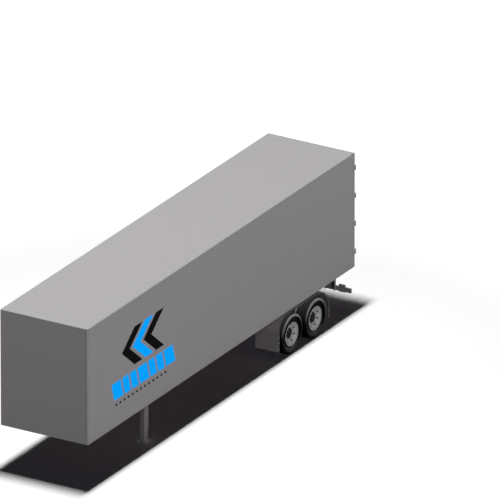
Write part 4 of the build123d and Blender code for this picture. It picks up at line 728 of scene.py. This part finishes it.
hanger_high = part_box("suspension_hangers")[1]
cheek_half = hanger_high[1] - spring_y
beam_low, beam_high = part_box("equalizers")
middle_x = (beam_low[0] + beam_high[0]) / 2
rod_pin_z = beam_low[2] - PIN_DROP
pins = (
    (hanger_high[0] - FRONT_PIN_INSET, rod_pin_z), (middle_x, rod_pin_z),
    (middle_x, beam_high[2] - BEAM_PIN_DROP),
)
pin_nuts = [
    ((x, side * spring_y + step * cheek_half, z), (0, step, 0))
    for x, z in pins
    for side in (-1, 1)
    for step in (-1, 1)
]
hex_bolts("hanger_pin_nuts", pin_nuts, "chassis", PIN_NUT_SCALE)

leg_low, leg_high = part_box("landing_legs_outer")
leg_bolt_pitch = (leg_high[0] - leg_low[0] - 2 * LEG_BOLT_INSET, LEG_PLATE_WIDTH - 2 * LEG_BOLT_INSET)
leg_x = (leg_low[0] + leg_high[0]) / 2
leg_bolts = [
    ((x, y, leg_high[2] - LEG_PLATE_THICKNESS), DOWN)
    for side in (-1, 1)
    for x, y in grid((leg_x, side * (leg_high[1] - LEG_PLATE_WIDTH / 2)), leg_bolt_pitch)
]
hex_bolts("leg_plate_bolts", leg_bolts, "chassis")
lid_bolts = [
    ((x, -leg_high[1] - GEARBOX_PROUD, z), (0, -1, 0))
    for x, z in grid((NOSE_X - LEGS_FROM_NOSE, leg_high[2] - LID_DROP), LID_BOLT_PITCH)
]
hex_bolts("gearbox_lid_bolts", lid_bolts, "chassis", SMALL_SCALE)

low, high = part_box("coupler_plate")
coupler_rivets = [
    ((x, y, low[2]), DOWN)
    for y in COUPLER_ROWS
    for x in steps(low[0] + COUPLER_MARGIN, high[0] - COUPLER_MARGIN, COUPLER_RIVET_PITCH)
]
fasten("coupler_rivets", coupler_rivets, "chassis", chassis_paint, COUPLER_RIVET)

guard_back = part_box("rear_guard")[0][0]
guard_bolts = [
    ((guard_back, y, z), (-1, 0, 0))
    for side in (-1, 1)
    for y, z in grid((side * GUARD_BOLTS[0], GUARD_BOLTS[1]), GUARD_BOLT_PITCH)
]
hex_bolts("guard_bolts", guard_bolts, "chassis")

low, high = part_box("wheel_cover_left")
cover_edges = (
    (high[0] - COVER_BOLT_INSET, COVER_FRONT_ROWS),
    (low[0] + COVER_BOLT_INSET, COVER_REAR_ROWS),
)
cover_bolts = [
    ((x, side * high[1], z), (0, side, 0))
    for side in (-1, 1)
    for x, rows in cover_edges
    for z in rows
]
hex_bolts("cover_bolts", cover_bolts, "chassis", SMALL_SCALE)

# ------------------------------------------------------------------ doors
# Two flat doors of the body's grey, plywood inside, each sealed round its edge by a black rubber
# bulb. Two lock rods a door turn in guides; straps, guides and handles are bolted through.
DOOR_RIVET_INSET = 0.035
DOOR_BOLT_SCALE = 0.72
STRAP_THICKNESS = 0.006
STRAP_BOLTS = (1.020, 1.062, 1.104)
HINGE_MARGIN = 0.260
HINGE_PITCH = 0.74
LOCK_RODS = (0.843, 0.263)
GUIDE_MARGIN = 0.150
GUIDE_PITCH = 1.2
GUIDE_BOLT_PITCH = (0.056, 0.024)
LEAF_BOLTS = (-6.286, -6.252)
KNUCKLE_STEP = 0.045
SEAL_BLACK = (0.010, 0.010, 0.011, 1)
SEAL_GREY = (0.030, 0.029, 0.029, 1)
BACK = (-1, 0, 0)
rubber = Finish("seal rubber", specular=0.25)
ribs = rubber.noise(70)
rubber.feed(Base_Color=rubber.mix(ribs, SEAL_BLACK, SEAL_GREY), Roughness=ribs * 0.2 + 0.5)
rubber.bump(ribs, depth=0.0003)
dress(("door_seal_left", "door_seal_right", "dock_bumpers"), rubber.material)

low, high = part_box("door_seal_left")
hinge_rows = steps(low[2] + HINGE_MARGIN, high[2] - HINGE_MARGIN, HINGE_PITCH)
guide_rows = steps(low[2] + GUIDE_MARGIN, high[2] - GUIDE_MARGIN, GUIDE_PITCH)
for name, side in SIDES:
    node = "door_panel_" + name
    body = "door_" + name
    low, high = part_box(node)
    coat = body_coat("door " + name, BODY_GREY, ("X", low[0] + WALL_SKIN, 1))
    dress((node,), coat)
    edges_y = (low[1] + DOOR_RIVET_INSET, high[1] - DOOR_RIVET_INSET)
    edges_z = (low[2] + DOOR_RIVET_INSET, high[2] - DOOR_RIVET_INSET)
    rivets = [((low[0], y, z), BACK) for z in steps(*edges_z, RIVET_PITCH) for y in edges_y]
    rivets += [((low[0], y, z), BACK) for y in steps(*edges_y, RIVET_PITCH)[1:-1] for z in edges_z]
    fasten("door_rivets_" + name, rivets, body, coat, RIVET_HEAD)
    places = [(side * y, z) for z in hinge_rows for y in STRAP_BOLTS]
    for y in LOCK_RODS:
        for z in guide_rows:
            places += grid((side * y, z), GUIDE_BOLT_PITCH)
    bolts = [((low[0] - STRAP_THICKNESS, y, z), BACK) for y, z in places]
    hex_bolts("door_bolts_" + name, bolts, body, DOOR_BOLT_SCALE)

leaf_bolts = [
    ((x, side * (BODY_HALF + STRAP_THICKNESS), z + step * KNUCKLE_STEP), (0, side, 0))
    for side in (-1, 1)
    for z in hinge_rows
    for step in (-1, 1)
    for x in LEAF_BOLTS
]
hex_bolts("hinge_leaf_bolts", leaf_bolts, "chassis", DOOR_BOLT_SCALE)

# ------------------------------------------------------------------ lamps
# Moulded red lenses, with small prisms behind a smooth face, pressed into the lamp boxes and
# screwed along the header.
PRISM_TURNS = 900
LENS_DARK = (0.22, 0.006, 0.008, 1)
LENS_RED = (0.42, 0.012, 0.014, 1)
lens = Finish("red lens")
prisms = (lens.axis("Y") * PRISM_TURNS).wave() * (lens.axis("Z") * PRISM_TURNS).wave()
lens.feed(Base_Color=lens.mix((prisms * 0.5 + 0.5).held(), LENS_DARK, LENS_RED),
          Roughness=0.15, Coat_Weight=0.6)
lens.bump(prisms, depth=0.0002)
dress(("tail_lamps", "marker_lamps"), lens.material)

# ------------------------------------------------------------------ wheels and hubs
# Pressed steel discs in the body's grey on steel rims, seated on black cast hubs. Ten nuts with
# captive washers hold each wheel, and road dirt collects in the dish.
NUT_COUNT = 10
NUT_CIRCLE = 0.1675
NUT_HEAD = (0.019, 0.01786, 0.024)
NUT_WASHER = (0.024, 0.004)
STUD_END = (0.011, 0.00935, 0.042)
CAP_BOLTS = 6
CAP_BOLT_CIRCLE = 0.084
CAP_BOLT_HEAD = (0.008, 0.0075, 0.007)
DISC_DISH = 0.086
HUB_PROUD = 0.006
RIM_HALF = 0.114
HAND_HOLES = 8
HAND_HOLE_START = 21
HAND_HOLE_CIRCLE = 0.228
HAND_HOLE_RADIUS = 0.029
HAND_HOLE_FACETS = 24
HOLE_CUT_MIDDLE = 0.05
HOLE_CUT_DEPTH = 0.12
WHEEL_FACETS = 96
WHEEL_SHARP = math.radians(35)
WHEEL_GREY = BODY_GREY * 1.22
# radius and distance from the wheel's middle, round the rim and both faces of the disc
WHEEL_SECTION = (
    (0.3060, -0.1140), (0.3060, -0.1050), (0.2915, -0.1050), (0.2880, -0.1000), (0.2880, 0.0960),
    (0.2915, 0.1040), (0.3040, 0.1050), (0.3060, 0.1085), (0.3040, 0.1130), (0.2985, 0.1140),
    (0.2880, 0.1105), (0.2815, 0.1030), (0.2790, 0.0940), (0.2780, 0.0840), (0.2700, 0.0770),
    (0.2560, 0.0670), (0.2360, 0.0530), (0.2160, 0.0390), (0.2020, 0.0310), (0.1900, 0.0280),
    (0.1405, 0.0280), (0.1405, 0.0160), (0.1900, 0.0160), (0.2040, 0.0185), (0.2200, 0.0270),
    (0.2400, 0.0410), (0.2580, 0.0540), (0.2700, 0.0620), (0.2790, 0.0640), (0.2790, -0.0950),
    (0.2815, -0.1040), (0.2880, -0.1110), (0.2980, -0.1140),
)
wheel_coat = Finish("wheel paint", specular=0.35)
dirt = wheel_coat.spots(12, size=0.5) * wheel_coat.noise(60)
wheel_coat.feed(Base_Color=wheel_coat.mix(dirt * 0.45, grey(WHEEL_GREY), FILM_BROWN),
                Roughness=dirt * 0.4 + 0.42)
wheel_coat.bump(wheel_coat.noise(90, detail=3), depth=0.00015)
wheel_paint = wheel_coat.material
hub_iron = steel_coat("hub iron", 0.010, roughness=0.5, dust=0.15, specular=0.03, wear=0.3)


def circle_points(centre, radius, count, y, side):
    """Places on a circle about an axle, all facing out on a side."""
    x, z = centre
    turns = [2 * math.pi * (step + 0.5) / count for step in range(count)]
    return [((x + radius * math.cos(t), y, z + radius * math.sin(t)), (0, side, 0)) for t in turns]


def turn_section(shape, section, facets, centre=(0, 0), middle=0):
    """Turns a closed section of (radius, distance along Y) about an axle, and returns its rings."""
    rings = []
    for turn in range(facets):
        angle = 2 * math.pi * turn / facets
        cos, sin = math.cos(angle), math.sin(angle)
        rings.append([
            shape.verts.new((centre[0] + radius * cos, middle + y, centre[1] + radius * sin))
            for radius, y in section
        ])
    for turn in range(facets):
        here, there = rings[turn], rings[(turn + 1) % facets]
        for point in range(len(section)):
            after = (point + 1) % len(section)
            shape.faces.new((here[point], there[point], there[after], here[after])).smooth = True
    return rings


def pressed_wheel():
    """One wheel about the origin, its dish facing +Y, with its hand holes cut."""
    disc = bmesh.new()
    turn_section(disc, WHEEL_SECTION, WHEEL_FACETS)
    holes = bmesh.new()
    for step in range(HAND_HOLES):
        turn = Matrix.Rotation(-math.radians(HAND_HOLE_START + 360 / HAND_HOLES * step), 4, "Y")
        place = turn @ Matrix.Translation((HAND_HOLE_CIRCLE, HOLE_CUT_MIDDLE, 0))
        place = place @ Matrix.Rotation(math.pi / 2, 4, "X")
        bmesh.ops.create_cone(
            holes, cap_ends=True, segments=HAND_HOLE_FACETS, radius1=HAND_HOLE_RADIUS,
            radius2=HAND_HOLE_RADIUS, depth=HOLE_CUT_DEPTH, matrix=place,
        )
    whole = add_object("uncut wheel", outward_mesh("pressed wheel", disc))
    cutter = add_object("hand hole cutter", outward_mesh("hand holes", holes))
    cut = whole.modifiers.new("holes", "BOOLEAN")
    cut.operation = "DIFFERENCE"
    cut.object = cutter
    mesh = plain_mesh(whole)
    bpy.data.objects.remove(cutter)
    return mesh


PRESSED = pressed_wheel()


def wheel_pair(name, centre, middles, side, body):
    """Both wheels of one end of an axle, their dishes facing out."""
    shape = bmesh.new()
    for middle in middles:
        copy = PRESSED.copy()
        copy.transform(Matrix.Translation((centre[0], middle, centre[1])) @ Matrix.Diagonal((1, side, 1, 1)))
        shape.from_mesh(copy)
    mesh = outward_mesh(name, shape)
    mesh.set_sharp_from_angle(angle=WHEEL_SHARP)
    return new_piece(name, mesh, body, wheel_paint)


for end in ENDS:
    centre = axle_centre(end)
    for name, side in SIDES:
        wheel = f"wheels_{end}_{name}"
        hub = f"hub_drum_{end}_{name}"
        body = f"wheel_{end}_{name}"
        dress((hub,), hub_iron)
        low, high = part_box(wheel)
        middles = (low[1] + RIM_HALF, high[1] - RIM_HALF)
        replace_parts(wheel_pair("wheel_bodies_" + body, centre, middles, side, body), wheel)
        disc_y = (high[1] if side > 0 else low[1]) - side * DISC_DISH
        nuts = circle_points(centre, NUT_CIRCLE, NUT_COUNT, disc_y, side)
        fasten("wheel_nuts_" + body, nuts, body, wheel_paint, NUT_HEAD,
               facets=6, washer=NUT_WASHER)
        fasten("wheel_studs_" + body, nuts, body, wheel_paint, STUD_END, facets=10)
        cap_bolts = circle_points(centre, CAP_BOLT_CIRCLE, CAP_BOLTS, disc_y + side * HUB_PROUD, side)
        fasten("hub_cap_bolts_" + body, cap_bolts, body, hub_iron, CAP_BOLT_HEAD, facets=6)

# ------------------------------------------------------------------ tyres
# Radial road tyres moulded in black rubber: a rounded sidewall with a thin rib round it, and five
# tread ribs cut into blocks by narrow slanted grooves. The sidewall's greyness is partly dust on its
# crest and partly painted shade: it is kept black in bands next to the rim, where shade falls.
TYRE_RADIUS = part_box("tyres_front_left")[1][2] / 2
TYRE_FACETS = 96
TYRE_SHARP = math.radians(40)
# half of the section from bead to tread: radius, distance from the tyre's middle, greyness (dust, with low
# values kept black as painted shade)
TYRE_SECTION = (
    (0.2885, 0.0980, 0), (0.3050, 0.0980, 0), (0.3085, 0.0830, 0), (0.3150, 0.0840, 0.3),
    (0.3300, 0.0915, 0.5), (0.3500, 0.1020, 0.5), (0.3700, 0.1125, 0.4), (0.3830, 0.1192, 0.3),
    (0.3850, 0.1225, 0.3), (0.3885, 0.1240, 0.3), (0.3910, 0.1230, 0.2), (0.4050, 0.1300, 0.1),
    (0.4180, 0.1352, 0.1), (0.4300, 0.1388, 0.3), (0.4400, 0.1400, 0.8), (0.4500, 0.1392, 1),
    (0.4620, 0.1360, 1), (0.4740, 0.1305, 1), (0.4850, 0.1235, 1), (0.4950, 0.1155, 0.8),
    (0.5020, 0.1085, 0.3), (0.5050, 0.1050, 0), (0.5030, 0.1030, 0), (0.5030, 0.0, 0),
)
RIB_PLACES = (-0.083, -0.0415, 0, 0.0415, 0.083)
RIB_SLANTS = (0.12, -0.35, 0.35, -0.35, 0.12)
RIB_WIDTH = 0.034
BLOCK_COUNT = 72
BLOCK_LENGTH = 0.038
BLOCK_HEIGHT = 0.016
BLOCK_SUNK = 0.0004
RUBBER_BLACK = (0.007, 0.007, 0.0075, 1)
RUBBER_GREY = (0.080, 0.076, 0.080, 1)

tyre_finish = Finish("tyre rubber", specular=0.004)
speckle = tyre_finish.noise(60, detail=6)
patches = tyre_finish.noise(7, detail=5)
# The sidewall's greyness mixes dust with painted shade. Where it is low, the rubber stays black as painted
# shade.
dust_and_shade = tyre_finish.node("ShaderNodeAttribute", {"attribute_name": "dust_and_shade"}, {}, "Fac")
pale = ((speckle * 0.35 + patches * 0.5 + 0.45) * dust_and_shade).held()
tyre_finish.feed(Base_Color=tyre_finish.mix(pale, RUBBER_BLACK, RUBBER_GREY),
                 Roughness=speckle * 0.2 + 0.18)
tyre_finish.bump(tyre_finish.noise(260, detail=3), depth=0.00012)
tyre_rubber = tyre_finish.material


def casing(name, centre, middles, body):
    """A closed tyre body round each of the middles, turned from the section."""
    other_half = [(radius, -y, shade) for radius, y, shade in reversed(TYRE_SECTION[:-1])]
    section = [*TYRE_SECTION, *other_half]
    shape = bmesh.new()
    # Each vertex carries its greyness: dust on the crest, painted shade next to the rim.
    layer = shape.verts.layers.float.new("dust_and_shade")
    for middle in middles:
        outline = [(radius, y) for radius, y, _ in section]
        for ring in turn_section(shape, outline, TYRE_FACETS, centre, middle):
            for vert, (_, _, shade) in zip(ring, section):
                vert[layer] = shade
    mesh = outward_mesh(name, shape)
    mesh.set_sharp_from_angle(angle=TYRE_SHARP)
    return new_piece(name, mesh, body, tyre_rubber)


def block_tree():
    """Sets a block of rubber at every point, turned as the point says."""
    tree = start_tree("tread blocks", (
        ("Length", "Float"), ("Width", "Float"), ("Height", "Float"), ("Material", "Material"),
    ))
    given = tree.nodes.new("NodeGroupInput").outputs
    size = add_node(tree, "ShaderNodeCombineXYZ", {}, {
        "X": given["Length"], "Y": given["Width"], "Z": given["Height"],
    })
    block = add_node(tree, "GeometryNodeMeshCube", {}, {"Size": size.outputs[0]})
    turn = add_node(tree, "FunctionNodeEulerToRotation", {}, {"Euler": direction_of(tree, "turn")})
    return set_on_points(tree, given, block.outputs["Mesh"], turn.outputs[0])


BLOCKS = block_tree()


def tread(name, centre, middles, body):
    """Five ribs of blocks on each tyre."""
    places = []
    turns = []
    radius = TYRE_RADIUS - BLOCK_SUNK - BLOCK_HEIGHT / 2
    for middle in middles:
        for rib, (y, slant) in enumerate(zip(RIB_PLACES, RIB_SLANTS)):
            for step in range(BLOCK_COUNT):
                angle = 2 * math.pi * (step + rib % 2 / 2) / BLOCK_COUNT
                x, z = centre[0] + radius * math.sin(angle), centre[1] + radius * math.cos(angle)
                places.append((x, middle + y, z))
                facing = Matrix.Rotation(angle, 3, "Y") @ Matrix.Rotation(slant, 3, "Z")
                turns.append(facing.to_euler())
    settings = {"Length": BLOCK_LENGTH, "Width": RIB_WIDTH, "Height": BLOCK_HEIGHT, "Material": tyre_rubber}
    return grow(name, BLOCKS, places, "turn", turns, settings, body)


half_width = max(y for _, y, _ in TYRE_SECTION)
tyre_pieces = []
for end in ENDS:
    for name, side in SIDES:
        node = f"tyres_{end}_{name}"
        body = f"wheel_{end}_{name}"
        low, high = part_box(node)
        middles = (low[1] + half_width, high[1] - half_width)
        for piece in (casing("tyre_bodies_" + body, axle_centre(end), middles, body),
                      tread("tyre_treads_" + body, axle_centre(end), middles, body)):
            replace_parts(piece, node)
            tyre_pieces.append(piece)

# ------------------------------------------------------------------ studio
# A white floor lit by one long soft lamp high above. Two fills from the front left and one from the
# back right leave the floor alone, and a last lamp lights only the black tyres. The camera stands
# far off behind a very long lens, so that the view is nearly parallel.
VIEW_AZIMUTH = math.radians(120.507)
VIEW_ELEVATION = math.radians(23.067)
METRES_PER_PIXEL = 0.02414
PICTURE_SIZE = 500
BODY_CENTRE_PIXEL = (178.92, 287.75)
HALF_ANGLE = math.radians(0.62)
SENSOR = 36.0

tail_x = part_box("lamp_boxes")[1][0]
body_centre = Vector(((NOSE_X + tail_x) / 2, 0, (BODY_FOOT + ROOF_TOP) / 2))
sin_a, cos_a = math.sin(VIEW_AZIMUTH), math.cos(VIEW_AZIMUTH)
sin_e, cos_e = math.sin(VIEW_ELEVATION), math.cos(VIEW_ELEVATION)
towards_camera = Vector((sin_a * cos_e, -cos_a * cos_e, sin_e))
right = Vector((cos_a, sin_a, 0))
up = Vector((-sin_a * sin_e, cos_a * sin_e, cos_e))
middle = PICTURE_SIZE / 2
aim = body_centre + right * (middle - BODY_CENTRE_PIXEL[0]) * METRES_PER_PIXEL
aim = aim + up * (BODY_CENTRE_PIXEL[1] - middle) * METRES_PER_PIXEL
distance = middle * METRES_PER_PIXEL / math.tan(HALF_ANGLE)

camera_data = bpy.data.cameras.new("camera")
camera_data.sensor_width = SENSOR
camera_data.lens = SENSOR / 2 / math.tan(HALF_ANGLE)
camera_data.clip_start = distance / 10
camera_data.clip_end = distance * 2
camera = add_object("camera", camera_data)
camera.location = aim + towards_camera * distance
camera.rotation_euler = towards_camera.to_track_quat("Z", "Y").to_euler()
bpy.context.scene.camera = camera

FLOOR_HALF = 45
FLOOR_WHITE = grey(0.97, 0)
FLOOR_BOUNCE = grey(0.06)
SHADE_GLOW = (0.0134, 0.0121, 0.0148, 1)
FAR_GLOW = grey(0.5, 0)
GLOW_START = 9
corners = [(x * FLOOR_HALF, y * FLOOR_HALF, 0) for x, y in ((-1, -1), (1, -1), (1, 1), (-1, 1))]
floor_mesh = bpy.data.meshes.new("floor")
floor_mesh.from_pydata(corners, [], [(0, 1, 2, 3)])
floor = add_object("studio_floor", floor_mesh)
floor_finish = Finish("studio floor", specular=0)
seen = floor_finish.node("ShaderNodeLightPath", {}, {}, "Is Camera Ray")
seen = (seen + floor_finish.node("ShaderNodeLightPath", {}, {}, "Is Glossy Ray")).held()
far = ((floor_finish.axis("X") ** 2 + floor_finish.axis("Y") ** 2) ** 0.5 - GLOW_START) / GLOW_START
glow = floor_finish.mix(seen * far.held(), SHADE_GLOW, FAR_GLOW)
glow = floor_finish.mix(seen, grey(0), glow)
floor_finish.feed(Base_Color=floor_finish.mix(seen, FLOOR_BOUNCE, FLOOR_WHITE), Roughness=1.0,
                  Emission_Color=glow, Emission_Strength=1.0)
floor_mesh.materials.append(floor_finish.material)

LAMP_PLACE = (3.44, 0.72, 55.7)
LAMP_LENGTH = 8.6
LAMP_WIDTH = 3.2
LAMP_ON_FLOOR = 3.35
overhead_data = bpy.data.lights.new("overhead", "AREA")
overhead_data.energy = LAMP_ON_FLOOR * math.pi * LAMP_PLACE[2] ** 2
overhead_data.shape = "ELLIPSE"
overhead_data.size = LAMP_LENGTH
overhead_data.size_y = LAMP_WIDTH
add_object("overhead", overhead_data).location = LAMP_PLACE

not_floor = bpy.data.collections.new("all but the floor")
not_floor.objects.link(floor)
bare_metal = bpy.data.collections.new("all but floor and tyres")
tyres_only = bpy.data.collections.new("tyres")
for piece in (floor, *tyre_pieces):
    bare_metal.objects.link(piece)
for piece in tyre_pieces:
    tyres_only.objects.link(piece)
for kept_out in (not_floor, bare_metal):
    for entry in kept_out.collection_objects:
        entry.light_linking.link_state = "EXCLUDE"

# name, direction that the light comes from, strength, apparent size in degrees, what it lights
FILLS = (
    ("fill_low", (0.68, 1.0, 0.06), 1.40, 24, bare_metal),
    ("fill_high", (0.60, 1.0, 0.95), 1.05, 24, bare_metal),
    ("fill_back_right", (-0.90, -0.9, 0.03), 1.9, 24, not_floor),
    ("tyre_light", (-0.12, 0.02, 1.0), 17.0, 8, tyres_only),
)
for name, source, strength, size, lit in FILLS:
    data = bpy.data.lights.new(name, "SUN")
    data.energy = strength
    data.angle = math.radians(size)
    lamp = add_object(name, data)
    lamp.rotation_euler = Vector(source).to_track_quat("Z", "Y").to_euler()
    lamp.light_linking.receiver_collection = lit
    if lit is tyres_only:
        lamp.light_linking.blocker_collection = lit

AIR_LIGHT = 0.0025
world = bpy.data.worlds.new("studio")
bpy.context.scene.world = world
world.use_nodes = True
tree = world.node_tree
ray = tree.nodes.new("ShaderNodeLightPath").outputs
seen = add_node(tree, "ShaderNodeMath", {"operation": "MAXIMUM"}, {
    0: ray["Is Camera Ray"], 1: ray["Is Glossy Ray"],
})
level = add_node(tree, "ShaderNodeMapRange", {}, {
    "Value": seen.outputs[0], "To Min": AIR_LIGHT, "To Max": 1.0,
})
background = tree.nodes["Background"].inputs
background["Color"].default_value = grey(1, 0)
tree.links.new(level.outputs[0], background["Strength"])

bpy.context.scene.view_settings.view_transform = "Standard"
